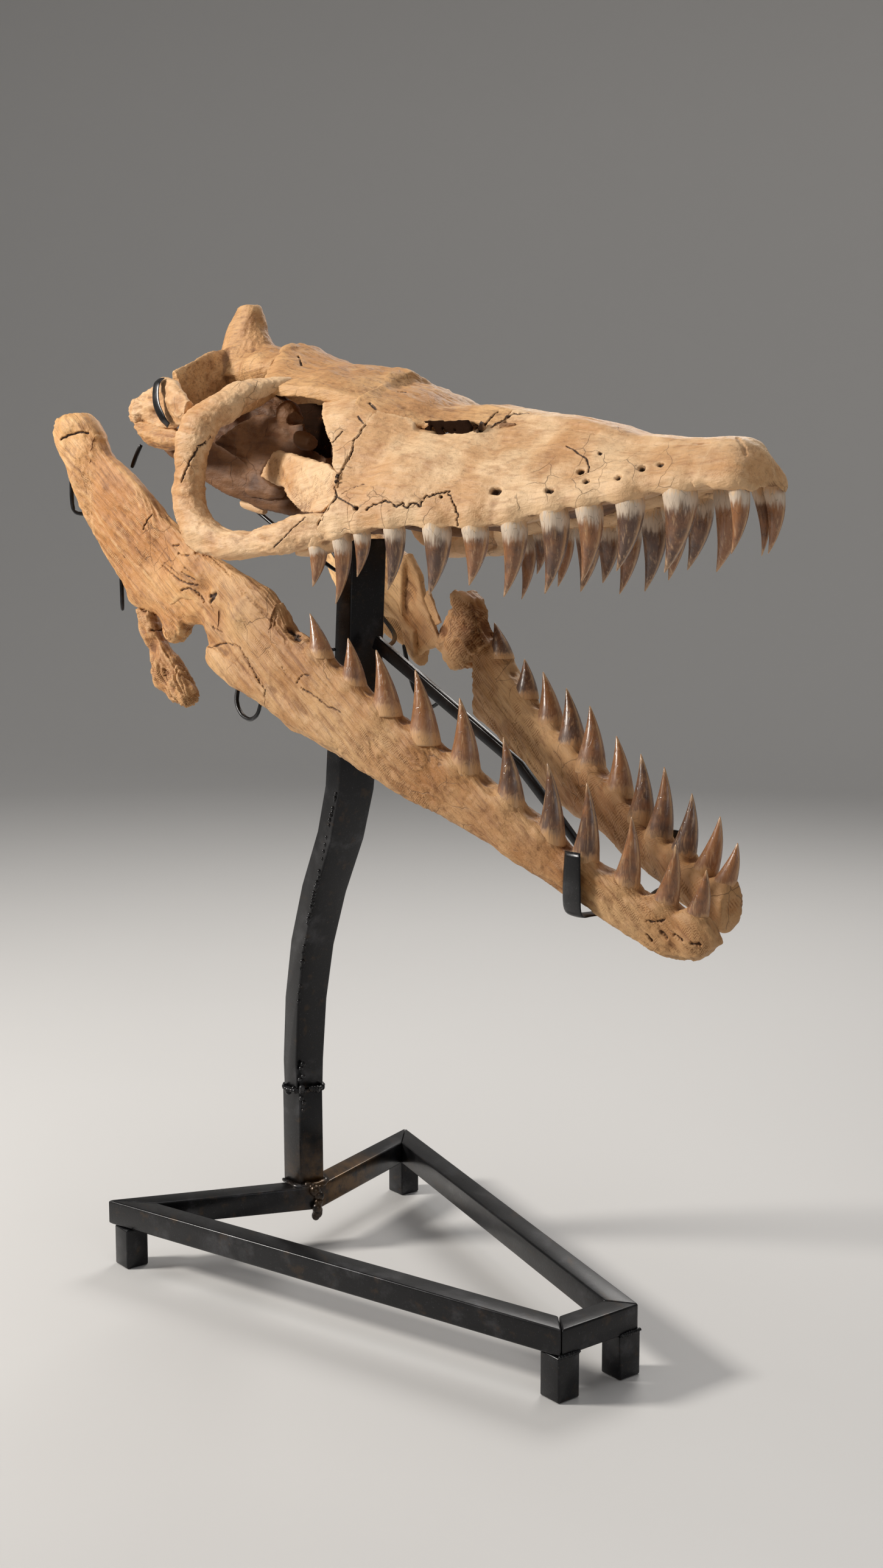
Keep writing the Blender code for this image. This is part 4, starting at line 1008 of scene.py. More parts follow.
@dataclass
class Cheek:
    """The paired bones of one side of the skull."""

    side: Side
    voxel: float
    tuck: float = 0.01  # how far the maxilla reaches under the roof, as a share
    maxilla_end: float = 0.668
    prefrontal_shares: tuple = (0.33, 0.71)
    cheek_lumps: tuple = (
        (0.312, 0.092, 0.8, 0.036, -0.0035), (0.44, 0.055, 0.835, 0.03, -0.0045),
        (0.475, 0.045, 0.835, 0.03, -0.0035), (0.36, 0.085, 0.812, 0.05, 0.002),
        (0.52, 0.05, 0.805, 0.04, -0.002), (0.664, 0.032, 0.783, 0.012, -0.006),
        (0.59, 0.046, 0.79, 0.03, 0.002))
    prefrontal_sink: Profile = Profile((0.33, 0.0035), (0.37, 0.0012), (0.42, 0.0))
    jugal_bar: tuple = (
        (0.29, 0.1165, 0.759, 0.0125, 0.007), (0.277, 0.119, 0.7565, 0.0155, 0.0085),
        (0.2535, 0.124, 0.753, 0.0165, 0.0095), (0.23, 0.1285, 0.7485, 0.0155, 0.0105),
        (0.2, 0.134, 0.7445, 0.0135, 0.0115), (0.1625, 0.139, 0.742, 0.0125, 0.012),
        (0.13, 0.141, 0.7465, 0.015, 0.013), (0.104, 0.142, 0.764, 0.0185, 0.0135),
        (0.092, 0.142, 0.787, 0.02, 0.0135), (0.0935, 0.141, 0.815, 0.0195, 0.0135),
        (0.098, 0.139, 0.848, 0.02, 0.013))
    postorbital_bar: tuple = (
        (0.0965, 0.1395, 0.836, 0.0132, 0.02), (0.1, 0.132, 0.858, 0.0145, 0.0215),
        (0.112, 0.112, 0.875, 0.014, 0.021), (0.122, 0.099, 0.885, 0.0115, 0.0175),
        (0.133, 0.0845, 0.8915, 0.0085, 0.0125), (0.144, 0.071, 0.8955, 0.0055, 0.008),
        (0.152, 0.061, 0.898, 0.003, 0.004))
    squamosal_arch: tuple = (
        (0.078, 0.13, 0.871, 0.007, 0.011), (0.054, 0.126, 0.876, 0.008, 0.018),
        (0.028, 0.119, 0.88, 0.01, 0.025), (0.0, 0.113, 0.883, 0.013, 0.027),
        (-0.028, 0.111, 0.88, 0.015, 0.021), (-0.046, 0.112, 0.876, 0.0145, 0.0155),
        (-0.062, 0.112, 0.874, 0.009, 0.009))
    quadrate_bar: tuple = (
        (-0.05, 0.111, 0.866, 0.01, 0.007), (-0.034, 0.111, 0.859, 0.014, 0.011),
        (-0.01, 0.112, 0.852, 0.014, 0.0125), (0.018, 0.113, 0.846, 0.012, 0.0125),
        (0.044, 0.116, 0.846, 0.008, 0.01))
    heel_bar: tuple = (
        (0.3, 0.104, 0.752, 0.011, 0.006), (0.275, 0.109, 0.74, 0.011, 0.006),
        (0.25, 0.114, 0.736, 0.009, 0.005), (0.24, 0.116, 0.735, 0.005, 0.003))

    def maxilla(self, teeth: Sequence["Crown"]) -> Fossil:
        """Args: teeth: of this bone, which swell its margin. Returns: the tooth-bearing cheek."""
        rings = []
        for u in spread(0.0, 1.0, 0.011):
            ring = []
            for f in spread(0.0, 1.0, 0.055):
                x0 = FACE.cheek_crack(0.4 + 0.6 * f) - 0.0004 + 0.0012 * wander(f * 9, 1.0, 4)
                x = x0 + (self.maxilla_end - x0) * u
                edge = FACE.maxilla_edge(x) - self.tuck
                ring.append((x, *FACE.point(x, edge + (1.0 - edge) * f)))
            x = ring[-1][0]
            edge = FACE.maxilla_edge(x) - self.tuck
            wide, low = FACE.point(x, 1.0)
            shelf = max(wide - FACE.tooth_shelf, 0.005)
            inner = [(ring[i][0], *FACE.inward(ring[i][0], edge + (1 - edge) * ring_share, FACE.shell))
                     for i, ring_share in ((0, 0.0), (3, 0.15), (6, 0.3))]
            inner = [(px, max(y, 0.004), z) for px, y, z in inner]
            corner = max(shelf, min(wide - 0.012, inner[2][1] - 0.004))
            ledge = [(x, corner, low + 0.024), (x, shelf, low + 0.008), (x, shelf + 0.004, low + 0.001)]
            rings.append(ring + list(reversed(ledge)) + list(reversed(inner)))
        shells = [to_side(rings, self.side), side_bar(self.heel_bar, self.side)]
        lumps = tooth_lumps(teeth, (0.001, 0.004 * self.side.value, 0.004), 1.5, 0.0035, 0.0, 0.01)
        lumps += swellings(self.cheek_lumps, self.side.value)
        return Fossil(self.side.named("maxilla"), PALE_BONE, shells, self.voxel, lumps=lumps, seed=13,
                      flakes=0.0003)

    def prefrontal(self) -> Fossil:
        """Returns: the plate between the orbit and the cheek crack."""
        rings = []
        for share in spread(*self.prefrontal_shares, 0.02):
            rear, front = FACE.orbit_front(share), FACE.cheek_crack(share) + 0.0004
            rear += 0.0016 * wander(share * 14, 1.0, 9)
            front += 0.0012 * wander(share * 15, 1.0, 4)
            outer = [(x, *FACE.inward(max(x, 0.24), share, self.prefrontal_sink(share)))
                     for x in np.linspace(rear, front, 9)]
            inner = [(x, *FACE.inward(max(x, 0.24), share, 0.013))
                     for x in np.linspace(front, rear + 0.003, 7)]
            rings.append(outer + inner)
        lumps = swellings(((0.27, 0.092, 0.836, 0.026, -0.002),), self.side.value)
        return Fossil(self.side.named("prefrontal"), PALE_BONE, [to_side(rings, self.side)], self.voxel,
                      lumps=lumps, seed=13, flakes=0.0003)

    def jugal(self) -> Fossil:
        """Returns: the L-shaped bar under and behind the orbit."""
        lumps = swellings(((0.106, 0.15, 0.748, 0.03, 0.0025), (0.13, 0.141, 0.727, 0.018, -0.002),
                           (0.225, 0.139, 0.742, 0.022, 0.002), (0.19, 0.142, 0.751, 0.02, -0.002),
                           (0.086, 0.15, 0.806, 0.018, -0.0025), (0.14, 0.138, 0.762, 0.022, 0.002)),
                          self.side.value)
        rings = side_bar(self.jugal_bar, self.side, up=(0.0, 1.0, 0.0), sides=24, square=0.9)
        return Fossil(self.side.named("jugal"), PALE_BONE, [rings], self.voxel,
                      lumps=lumps, seed=19, rounding=4, rough=1.5, flakes=0.0005)

    def postorbital(self) -> Fossil:
        """Returns: the bar between the frontal's rim and the jugal."""
        rings = side_bar(self.postorbital_bar, self.side, up=(1.0, 0.0, 0.0), sides=24, square=0.9)
        lumps = swellings(((0.088, 0.132, 0.868, 0.02, 0.002), (0.128, 0.102, 0.88, 0.018, -0.002)),
                          self.side.value)
        return Fossil(self.side.named("postorbital"), PALE_BONE, [rings], self.voxel,
                      lumps=lumps, seed=19, rounding=4, rough=1.5, flakes=0.0005)

    def squamosal(self) -> Fossil:
        """Returns: the arch behind the postorbital and the knob at its end."""
        lumps = swellings(((0.01, 0.124, 0.882, 0.024, -0.003), (-0.036, 0.124, 0.876, 0.02, 0.0025),
                           (0.04, 0.128, 0.888, 0.022, 0.002), (-0.012, 0.118, 0.9, 0.02, -0.002),
                           (-0.03, 0.126, 0.862, 0.014, -0.005), (-0.052, 0.12, 0.886, 0.014, 0.003),
                           (-0.004, 0.128, 0.868, 0.013, -0.004)), self.side.value)
        return Fossil(self.side.named("squamosal"), PALE_BONE, [side_bar(self.squamosal_arch, self.side)],
                      self.voxel, lumps=lumps, seed=29, flakes=0.0011, rounding=4, rough=1.9)

    def quadrate(self) -> Fossil:
        """Returns: what is left of the quadrate, under the knob."""
        return Fossil(self.side.named("quadrate"), TAN_BONE, [side_bar(self.quadrate_bar, self.side)],
                      self.voxel, seed=31, rough=2.2, rounding=4, flakes=0.001)

    def bones(self, teeth: Sequence["Crown"]) -> list[Fossil]:
        """Args: teeth: of the maxilla. Returns: every bone of this side."""
        return [self.maxilla(teeth), self.prefrontal(), self.jugal(), self.postorbital(),
                self.squamosal(), self.quadrate()]


@dataclass
class Palate:
    """The roof of the mouth, the plates inside the orbit, the braincase, and the dark sheets of painted shade
    behind the naris and the orbit.
    """

    vomer_at: tuple = (0.3, 0.345, 0.42, 0.5, 0.58, 0.6625)
    palatine_ends: tuple[float, float] = (0.286, 0.54)
    plate_voxel: float = 0.0014
    pad_voxel: float = 0.0012
    wall_voxel: float = 0.0016
    floor_plate: Slab = Slab(
        ((432, 782, -0.062), (444, 760, -0.064), (452, 746, -0.066), (459, 741, -0.068), (479, 746, -0.074),
        (505, 754, -0.084), (539, 761, -0.098), (556, 775, -0.106), (556, 800, -0.11), (545, 828, -0.112),
        (531, 842, -0.112), (511, 844, -0.11), (499, 843, -0.108), (487, 834, -0.104), (476, 814, -0.09),
        (470, 799, -0.082), (447, 791, -0.068)), 0.0055)
    pad: tuple = (
        (0.052, 0.056, 0.7845, 0.003, 0.003), (0.058, 0.0555, 0.7825, 0.005, 0.0045),
        (0.072, 0.0545, 0.7795, 0.0055, 0.005), (0.084, 0.0535, 0.7765, 0.005, 0.0045),
        (0.091, 0.053, 0.7745, 0.003, 0.003))
    # A dark sheet of painted shade behind the naris slit.
    naris_shade_sheet: Slab = Slab(
        ((677, 716, -0.05), (683, 702, -0.049), (693, 692, -0.048), (730, 691, -0.0435), (768, 691, -0.039),
        (776, 703, -0.039), (776, 722, -0.042), (730, 724, -0.046), (690, 724, -0.051)), 0.003)
    # A dark sheet of painted shade on the midline behind the orbit.
    orbit_shade_sheet: Slab = Slab(((488, 664, 0.0), (540, 664, 0.0), (545, 765, 0.0), (490, 765, 0.0)), 0.003)
    side_wall: Slab = Slab(
        ((351, 731, -0.062), (370, 711, -0.06), (396, 695, -0.056), (421, 685, -0.05), (447, 686, -0.045),
        (468, 696, -0.042), (500, 694, -0.04), (503, 735, -0.04), (540, 752, -0.042), (538, 764, -0.044),
        (500, 756, -0.046), (466, 744, -0.05), (444, 760, -0.054), (431, 782, -0.06), (446, 798, -0.062),
        (467, 804, -0.062), (463, 815, -0.062), (441, 820, -0.062), (415, 814, -0.062), (402, 803, -0.062),
        (383, 782, -0.064), (364, 759, -0.064)), 0.006)
    knobs: tuple = (
        ((0.098, 0.03, 0.872, 0.009, 0.012), (0.108, 0.034, 0.868, 0.014, 0.016),
        (0.12, 0.036, 0.862, 0.01, 0.011)), ((0.142, 0.046, 0.846, 0.006, 0.006),
        (0.154, 0.05, 0.842, 0.009, 0.009), (0.17, 0.05, 0.838, 0.006, 0.006)))
    wing: tuple = (
        (0.285, 0.04, 0.757, 0.014, 0.006), (0.22, 0.042, 0.762, 0.02, 0.008),
        (0.15, 0.046, 0.776, 0.014, 0.01), (0.095, 0.056, 0.793, 0.008, 0.016),
        (0.04, 0.072, 0.818, 0.005, 0.02), (0.0, 0.084, 0.838, 0.005, 0.018),
        (-0.035, 0.09, 0.85, 0.004, 0.012))
    case: tuple = (
        (-0.085, 0.0, 0.846, 0.014, 0.014), (-0.062, 0.0, 0.848, 0.019, 0.02),
        (-0.045, 0.0, 0.862, 0.034, 0.034), (-0.01, 0.0, 0.862, 0.038, 0.036),
        (0.03, 0.0, 0.858, 0.03, 0.036), (0.06, 0.0, 0.845, 0.018, 0.026),
        (0.11, 0.0, 0.824, 0.008, 0.012), (0.19, 0.0, 0.812, 0.005, 0.007))
    case_lumps: tuple = (
        (0.01, -0.034, 0.868, 0.022, -0.006), (-0.03, -0.036, 0.85, 0.016, 0.005),
        (0.04, -0.028, 0.852, 0.014, 0.005), (0.01, 0.034, 0.868, 0.022, -0.006))

    def palatine(self, side: Side) -> Fossil:
        """Args: side: which one. Returns: the flat strip inside the tooth row."""
        rings = []
        for x in spread(*self.palatine_ends, 0.006):
            inner = 0.022 - 0.008 * min(max((x - 0.345) / 0.075, 0.0), 1.0)
            outer, level = FACE.half_width(x) - FACE.tooth_shelf - 0.001, FACE.margin(x) + 0.01
            corners = ((inner, 0.01), ((inner + outer) / 2, 0.0085), (outer, 0.006), (outer, -0.002),
                       ((inner + outer) / 2, 0.0005), (inner, 0.002))
            rings.append([(x, y, level + rise) for y, rise in corners])
        return Fossil(side.named("palatine"), BROWN_SHADED_BONE, [to_side(rings, side)], COARSE, seed=37)

    def bones(self) -> list[Fossil]:
        """Returns: the bones of the palate and the braincase, with the sheets of painted shade behind the
        naris and the orbit.
        """
        vomer = [(x, 0.0, FACE.margin(x) + 0.014, 0.011 - 0.02 * (x - 0.3), 0.006) for x in self.vomer_at]
        out = [Fossil("orbit_shade_sheet", PAINTED_SHADE_BONE, [self.orbit_shade_sheet.rings(Side.RIGHT)], COARSE, nodes=(),
                      seed=79, rounding=2),
               Fossil("vomer", BROWN_SHADED_BONE, [bar_rings(vomer)], COARSE, seed=41, rounding=2),
               Fossil("braincase", BROWN_SHADED_BONE, [bar_rings(self.case, sides=28)], COARSE, seed=43,
                      rough=1.8, flakes=0.001, lumps=swellings(self.case_lumps))]
        for side in Side:
            knobs = [side_bar(knob, side) for knob in self.knobs]
            out += [self.palatine(side),
                    Fossil(side.named("ectopterygoid"), PALE_BONE, [self.floor_plate.rings(side)],
                           self.plate_voxel, seed=47, flakes=0.001, rounding=3, rough=1.3,
                           grain=(0.8, 0.2, -0.6)),
                    Fossil(side.named("naris_shade_sheet"), PAINTED_SHADE_BONE, [self.naris_shade_sheet.rings(side)], COARSE,
                           nodes=(), seed=71, rounding=2),
                    Fossil(side.named("arm_pad"), PALE_BONE, [side_bar(self.pad, side)], self.pad_voxel,
                           nodes=(), seed=73, rough=0.3, rounding=2),
                    Fossil(side.named("orbit_wall"), BROWN_SHADED_BONE, [self.side_wall.rings(side), *knobs],
                           self.wall_voxel, nodes=(), seed=59, rough=1.8, flakes=0.001, rounding=4),
                    Fossil(side.named("pterygoid"), BROWN_SHADED_BONE, [side_bar(self.wing, side)],
                           COARSE, seed=53, rough=1.3)]
        return out


# ---- lower jaw ---------------------------------------------------------------------------------
@dataclass
class Ramus:
    """One half of the lower jaw."""

    side: Side
    voxel: float
    top: Profile = Profile(
        (-0.152, 0.868), (-0.145, 0.877), (-0.118, 0.878), (-0.094, 0.864), (-0.076, 0.84), (-0.012, 0.797),
        (0.026, 0.766), (0.098, 0.731), (0.18, 0.702), (0.201, 0.69), (0.222, 0.666), (0.242, 0.658),
        (0.323, 0.615), (0.367, 0.593), (0.455, 0.543), (0.488, 0.526), (0.534, 0.495), (0.575, 0.477),
        (0.642, 0.453), (0.668, 0.448), (0.679, 0.436))
    bottom: Profile = Profile(
        (-0.152, 0.862), (-0.145, 0.846), (-0.119, 0.803), (-0.107, 0.776), (-0.09, 0.749), (-0.056, 0.711),
        (-0.03, 0.682), (0.006, 0.67), (0.022, 0.655), (0.038, 0.644), (0.05, 0.65), (0.058, 0.663),
        (0.078, 0.663), (0.096, 0.655), (0.102, 0.636), (0.112, 0.622), (0.145, 0.608), (0.194, 0.585),
        (0.22, 0.572), (0.28, 0.556), (0.353, 0.529), (0.456, 0.49), (0.517, 0.462), (0.566, 0.44),
        (0.606, 0.422), (0.638, 0.411), (0.66, 0.413), (0.679, 0.427))
    middle: Profile = Profile(
        (-0.152, 0.147), (-0.02, 0.131), (0.06, 0.122), (0.15, 0.116), (0.264, 0.109), (0.304, 0.104),
        (0.347, 0.098), (0.393, 0.087), (0.434, 0.074), (0.482, 0.064), (0.525, 0.052), (0.563, 0.042),
        (0.606, 0.033), (0.644, 0.024), (0.679, 0.018))
    thick: Profile = Profile(
        (-0.152, 0.008), (-0.142, 0.018), (-0.11, 0.019), (-0.08, 0.013), (0.1, 0.012), (0.2, 0.014),
        (0.35, 0.015), (0.6, 0.014), (0.665, 0.013), (0.679, 0.007))
    left_lift: Profile = Profile(
        (0.2, 0.0), (0.245, -0.004), (0.31, -0.022), (0.36, -0.023), (0.448, -0.007), (0.519, 0.003),
        (0.57, 0.012), (0.64, 0.018), (0.679, 0.014))
    broken_plate: Slab = Slab(
        ((673, 908, 0.118), (683, 927, 0.118), (691, 945, 0.117), (694, 963, 0.117), (700, 990, 0.116),
        (709, 1012, 0.115), (716, 1028, 0.115), (728, 1059, 0.114), (709, 1066, 0.114), (698, 1070, 0.114),
        (691, 1077, 0.114), (678, 1075, 0.115), (662, 1059, 0.116), (645, 1050, 0.117), (625, 1030, 0.118),
        (620, 990, 0.119), (628, 955, 0.119), (646, 945, 0.119), (661, 932, 0.118)), 0.007)
    sliver: Slab = Slab(
        ((703, 967, 0.108), (709, 976, 0.108), (715, 993, 0.108), (723, 1017, 0.108), (728, 1024, 0.108),
        (716, 1030, 0.11), (706, 1004, 0.111), (700, 982, 0.111)), 0.006)
    knob: Slab = Slab(
        ((752, 973, 0.11), (767, 972, 0.11), (783, 983, 0.109), (790, 1000, 0.108), (795, 1024, 0.107),
        (802, 1043, 0.106), (809, 1058, 0.105), (800, 1068, 0.105), (786, 1080, 0.105), (770, 1100, 0.105),
        (752, 1096, 0.106), (740, 1078, 0.107), (731, 1052, 0.108), (729, 1030, 0.109), (736, 1019, 0.11),
        (743, 1008, 0.11), (760, 1001, 0.11), (754, 992, 0.11), (749, 982, 0.11)), 0.02)
    knob_lumps: tuple = (
        (0.2, 0.094, 0.676, 0.012, 0.004), (0.184, 0.094, 0.655, 0.01, -0.005),
        (0.206, 0.096, 0.648, 0.01, 0.004), (0.222, 0.096, 0.662, 0.01, -0.004),
        (0.18, 0.095, 0.64, 0.009, 0.005))
    tip_lumps: tuple = (
        (0.668, 0.03, 0.43, 0.022, 0.003), (0.645, 0.036, 0.42, 0.016, -0.002),
        (0.673, 0.016, 0.421, 0.008, -0.003))
    heel_lumps: tuple = ((-0.124, 0.16, 0.868, 0.02, 0.003), (-0.112, 0.155, 0.848, 0.018, -0.004))
    blade_lumps: tuple = (
        (0.02, 0.142, 0.735, 0.04, -0.003), (0.06, 0.136, 0.7, 0.03, 0.003),
        (0.075, 0.136, 0.728, 0.02, 0.003), (0.1, 0.134, 0.7, 0.018, -0.003))
    coronoid_lumps: tuple = ((0.196, 0.116, 0.682, 0.024, -0.003), (0.15, 0.13, 0.672, 0.022, 0.003))
    keel_lumps: tuple = (
        (0.01, 0.132, 0.664, 0.018, -0.004), (0.034, 0.134, 0.652, 0.016, 0.004),
        (0.08, 0.142, 0.662, 0.02, -0.008))
    splenial: tuple = (
        (0.102, 0.639, 0.003, 0.011), (0.112, 0.634, 0.006, 0.013), (0.137, 0.623, 0.0065, 0.014),
        (0.169, 0.611, 0.006, 0.014), (0.205, 0.598, 0.0055, 0.013))
    splenial_front: tuple = (
        (0.198, 0.601, 0.0055, 0.013), (0.246, 0.583, 0.0045, 0.013), (0.29, 0.568, 0.002, 0.01),
        (0.33, 0.556, -0.001, 0.006))
    angular_share: float = 0.36
    lap: float = 0.004  # how far two jaw bones run into one another at a seam
    seam_articular: float = -0.088
    seam_coronoid: float = 0.12
    seam_dentary: float = 0.206
    seam_knob: float = 0.23
    left_tip: float = 0.657

    def lift(self, x: float) -> float:
        """Args: x: along the jaw. Returns: how far this side is lifted there."""
        return self.left_lift(x) if self.side is Side.LEFT else 0.0

    def ring(self, x: float, low: float = 0.0, high: float = 1.0, top: float | None = None,
             bottom: float | None = None, skew: Callable[[float], float] | None = None) -> list[Point]:
        """Args: x: place. low, high: shares of the depth. top, bottom: instead of the jaw's own.
        skew: moves a point along X by its share. Returns: the ring there."""
        bottom = self.bottom(x) + self.lift(x) if bottom is None else bottom
        top = self.top(x) + self.lift(x) if top is None else top
        middle, thick, s = self.middle(x), self.thick(x), self.side.value
        outer, inner = [], []
        for step in np.linspace(0.0, 1.0, 15):
            share = low + step * (high - low)
            bulge = max(1 - abs(2 * share - 1) ** 3, 0.0) ** 0.5
            out, z = (0.35 + 0.65 * bulge) * thick, bottom + (top - bottom) * share
            at = x + (skew(share) if skew else 0.0)
            outer.append((at, (middle + out) * s, z))
            inner.append((at, (middle - out) * s, z))
        return outer + inner[::-1]

    def band(self, stations: Sequence[Sequence[float]]) -> Rings:
        """Args: stations: rows of x, z, how far it stands out and half height. Returns: a raised band."""
        rows = [(x, self.middle(x) + self.thick(x) * 0.45, z, self.thick(x) * 0.5 + out, half)
                for x, z, out, half in stations]
        return side_bar(rows, self.side, square=0.8)

    def rings(self, start: float, end: float, low: float = 0.0, high: float = 1.0) -> Rings:
        """Args: start, end: along X. low, high: shares of the depth. Returns: rings between them."""
        return [self.ring(x, low, high) for x in spread(start, end, 0.006)]

    def dentary(self, teeth: Sequence["Crown"]) -> Fossil:
        """Args: teeth: of this jaw. Returns: the tooth-bearing front part."""
        side = self.side.value
        if self.side is Side.RIGHT:
            shells = [self.rings(self.seam_dentary - self.lap, 0.679), self.band(self.splenial_front)]
        else:
            broken = self.ring(self.seam_knob, skew=lambda share: 0.007 * wander(share * 4.0, 1.0, 83))
            shells = [[broken, *self.rings(self.seam_knob + 0.01, 0.651),
                       self.ring(self.left_tip, top=0.462, bottom=0.44)]]
        lumps = tooth_lumps(teeth, (0.0, 0.002 * side, -0.001), 1.55, 0.0048, 0.001, 0.011)
        if self.side is Side.RIGHT:
            lumps += swellings(self.tip_lumps, side)
        return Fossil(self.side.named("dentary"), shells=shells, lumps=lumps, **self.bone_kind())

    def bone_kind(self) -> dict:
        """Returns: what all bones of the jaw have in common, so that their seams don't show."""
        return {"finish": JAW_BONE, "grain": (0.82, 0.0, -0.57), "voxel": self.voxel, "rounding": 3,
                "seed": 61, "rough": 1.2, "flakes": 0.0012}

    def rear_bones(self) -> list[Fossil]:
        """Returns: articular, surangular, coronoid and angular."""
        side, share, lap, kind = self.side.value, self.angular_share, self.lap, self.bone_kind()
        heel = Fossil(self.side.named("articular"), shells=[self.rings(-0.1505, self.seam_articular + lap)],
                      lumps=swellings(self.heel_lumps, side), **kind)
        if self.side is Side.RIGHT:
            blade = self.rings(self.seam_articular, self.seam_coronoid + lap, share - 0.03)
            front = self.rings(self.seam_coronoid, self.seam_dentary + lap, share - 0.03)
            keel = self.rings(self.seam_articular, self.seam_dentary, 0.0, share + 0.03)
            parts = (("surangular", [blade], self.blade_lumps), ("coronoid", [front], self.coronoid_lumps),
                     ("angular", [keel, self.band(self.splenial)], self.keel_lumps))
            return [heel] + [Fossil(self.side.named(name), shells=shells, lumps=swellings(rows, side), **kind)
                             for name, shells, rows in parts]
        plate = [self.rings(self.seam_articular, 0.104, share - 0.02), self.broken_plate.rings(self.side),
                 self.sliver.rings(self.side)]
        keel = [self.rings(self.seam_articular, 0.126, 0.0, share)]
        knob = {**kind, "rough": 2.6, "flakes": 0.002, "lumps": swellings(self.knob_lumps)}
        return [heel, Fossil("surangular_left", shells=plate, **kind),
                Fossil("angular_left", shells=keel, **kind),
                Fossil("coronoid_left", shells=[self.knob.rings(self.side)], **knob)]


@dataclass
class Hyoid:
    """The short bone that hangs under the right jaw."""

    bar: tuple = (
        (-0.014, -0.13, 0.678, 0.012, 0.01), (-0.011, -0.129, 0.664, 0.01, 0.01),
        (-0.003, -0.127, 0.647, 0.012, 0.011), (0.009, -0.126, 0.63, 0.015, 0.013),
        (0.024, -0.126, 0.613, 0.017, 0.015), (0.036, -0.125, 0.603, 0.018, 0.015),
        (0.052, -0.125, 0.595, 0.014, 0.013), (0.064, -0.125, 0.59, 0.008, 0.008))
    lumps: tuple = (
        (0.004, -0.137, 0.64, 0.013, -0.004), (0.02, -0.138, 0.622, 0.012, 0.003),
        (0.008, -0.132, 0.604, 0.018, 0.007), (0.034, -0.138, 0.614, 0.014, -0.005),
        (0.05, -0.136, 0.606, 0.012, 0.004), (0.062, -0.134, 0.586, 0.012, 0.004),
        (0.03, -0.138, 0.594, 0.01, -0.004))

    def bone(self) -> Fossil:
        """Returns: the bone."""
        rings = bar_rings(self.bar, up=(0.0, 1.0, 0.0), square=0.85)
        return Fossil("hyoid_right", TAN_BONE, [rings], seed=101, rough=2.6, flakes=0.0016,
                      lumps=swellings(self.lumps), grain=(0.6, 0.0, -0.7), rounding=3)


# ---- teeth -------------------------------------------------------------------------------------
ROOT = -0.16  # where a tooth starts, as a share of its length
UPPER_WIDTH = Profile(
    (ROOT, 0.92), (0.0, 1.0), (0.08, 1.03), (0.16, 0.98), (0.3, 0.89), (0.45, 0.77), (0.7, 0.48),
    (0.86, 0.26), (0.95, 0.12), (1.0, 0.04))
LOWER_WIDTH = Profile(
    (ROOT, 1.12), (0.0, 1.08), (0.08, 1.0), (0.2, 0.89), (0.45, 0.65), (0.7, 0.38), (0.86, 0.2),
    (0.95, 0.1), (1.0, 0.03))


@dataclass(frozen=True)
class Crown:
    """One tooth: middle of its base, tip, half width of the base and how dark it is."""

    base: Vector
    tip: Vector
    radius: float
    tone: float
    sides: int = 28

    def add_to(self, builder: bmesh.types.BMesh, marks: dict[str, list[float]]) -> None:
        """Args: builder: gets the closed tooth. marks: get crown, keel and tone for each vertex."""
        axis = self.tip - self.base
        down = axis.z < 0
        sag = Vector((0.1 * axis.length, 0.0, 0.0)) * (1 if down else 0.6)
        width = UPPER_WIDTH if down else LOWER_WIDTH
        rings = []
        for share in spread(ROOT, 1.0, 0.035):
            centre = self.base + axis * share + sag * (4 * share * (1 - share) if share > 0 else 0)
            ring = []
            for k in range(self.sides):
                turn = 2 * math.pi * k / self.sides
                keel = math.exp(-(math.sin(turn) / 0.16) ** 2)
                facet = 1 + 0.012 * math.cos(11 * turn + 7 * self.tone) * (share > 0.1)
                reach = self.radius * width(share) * facet * (1 + 0.07 * keel * min(max(share * 4, 0), 1))
                ring.append(tuple(centre + Vector((math.cos(turn), 0.86 * math.sin(turn), 0.0)) * reach))
                marks["crown"].append(share)
                marks["keel"].append(keel * min(max(share * 3, 0.0), 1.0))
                marks["tone"].append(self.tone)
            rings.append(ring)
        add_shell(builder, rings)


@dataclass
class TeethRow:
    """The teeth of one bone, as one piece.

    A row's line is: place along X, how far the tip goes, how far it leans back, half the base width.
    """

    bone: str
    side: Side
    rows: tuple[tuple[float, float, float, float], ...]
    lower: bool = False
    setback: Profile = Profile((0.48, 0.0), (0.56, 0.005), (0.6, 0.008), (0.66, 0.013))
    wear: float = 0.005

    def crowns(self, jaw: Ramus | None = None) -> list[Crown]:
        """Args: jaw: which a lower row stands on. Returns: the row's teeth."""
        out, s = [], self.side.value
        for i, (x, reach, lean, radius) in enumerate(self.rows):
            tone = 0.5 + 0.5 * wander(i * 3.7 + s, 1.0, 200 + 7 * self.lower)
            if jaw is None:
                base = Vector((x, s * (FACE.half_width(x) - FACE.tooth_inset), FACE.margin(x) + 0.001))
                tip = base + Vector((-lean, s * 0.001, -reach))
            else:
                if self.side is Side.LEFT:
                    x, reach = x - self.setback(x), reach - self.wear
                base = Vector((x, s * jaw.middle(x), jaw.top(x) + jaw.lift(x) - 0.002))
                tip = base + Vector((-lean, s * 0.002, reach + 0.002))
            out.append(Crown(base, tip, radius, tone))
        return out

    def build(self, crowns: Sequence[Crown]) -> None:
        """Args: crowns: the teeth, which become one finished piece."""
        builder = bmesh.new()
        marks: dict[str, list[float]] = {"crown": [], "keel": [], "tone": []}
        for crown in crowns:
            crown.add_to(builder, marks)
        obj = new_object(f"teeth_{self.side.named(self.bone)}", builder)
        for key, values in marks.items():
            layer = obj.data.attributes.new(key, "FLOAT", "POINT")
            layer.data.foreach_set("value", np.array(values, np.float32))
        node = self.bone if self.bone == "premaxilla" else self.side.named(self.bone)
        hand_over(obj, JAW_ENAMEL if self.bone == "dentary" else ENAMEL, [node])


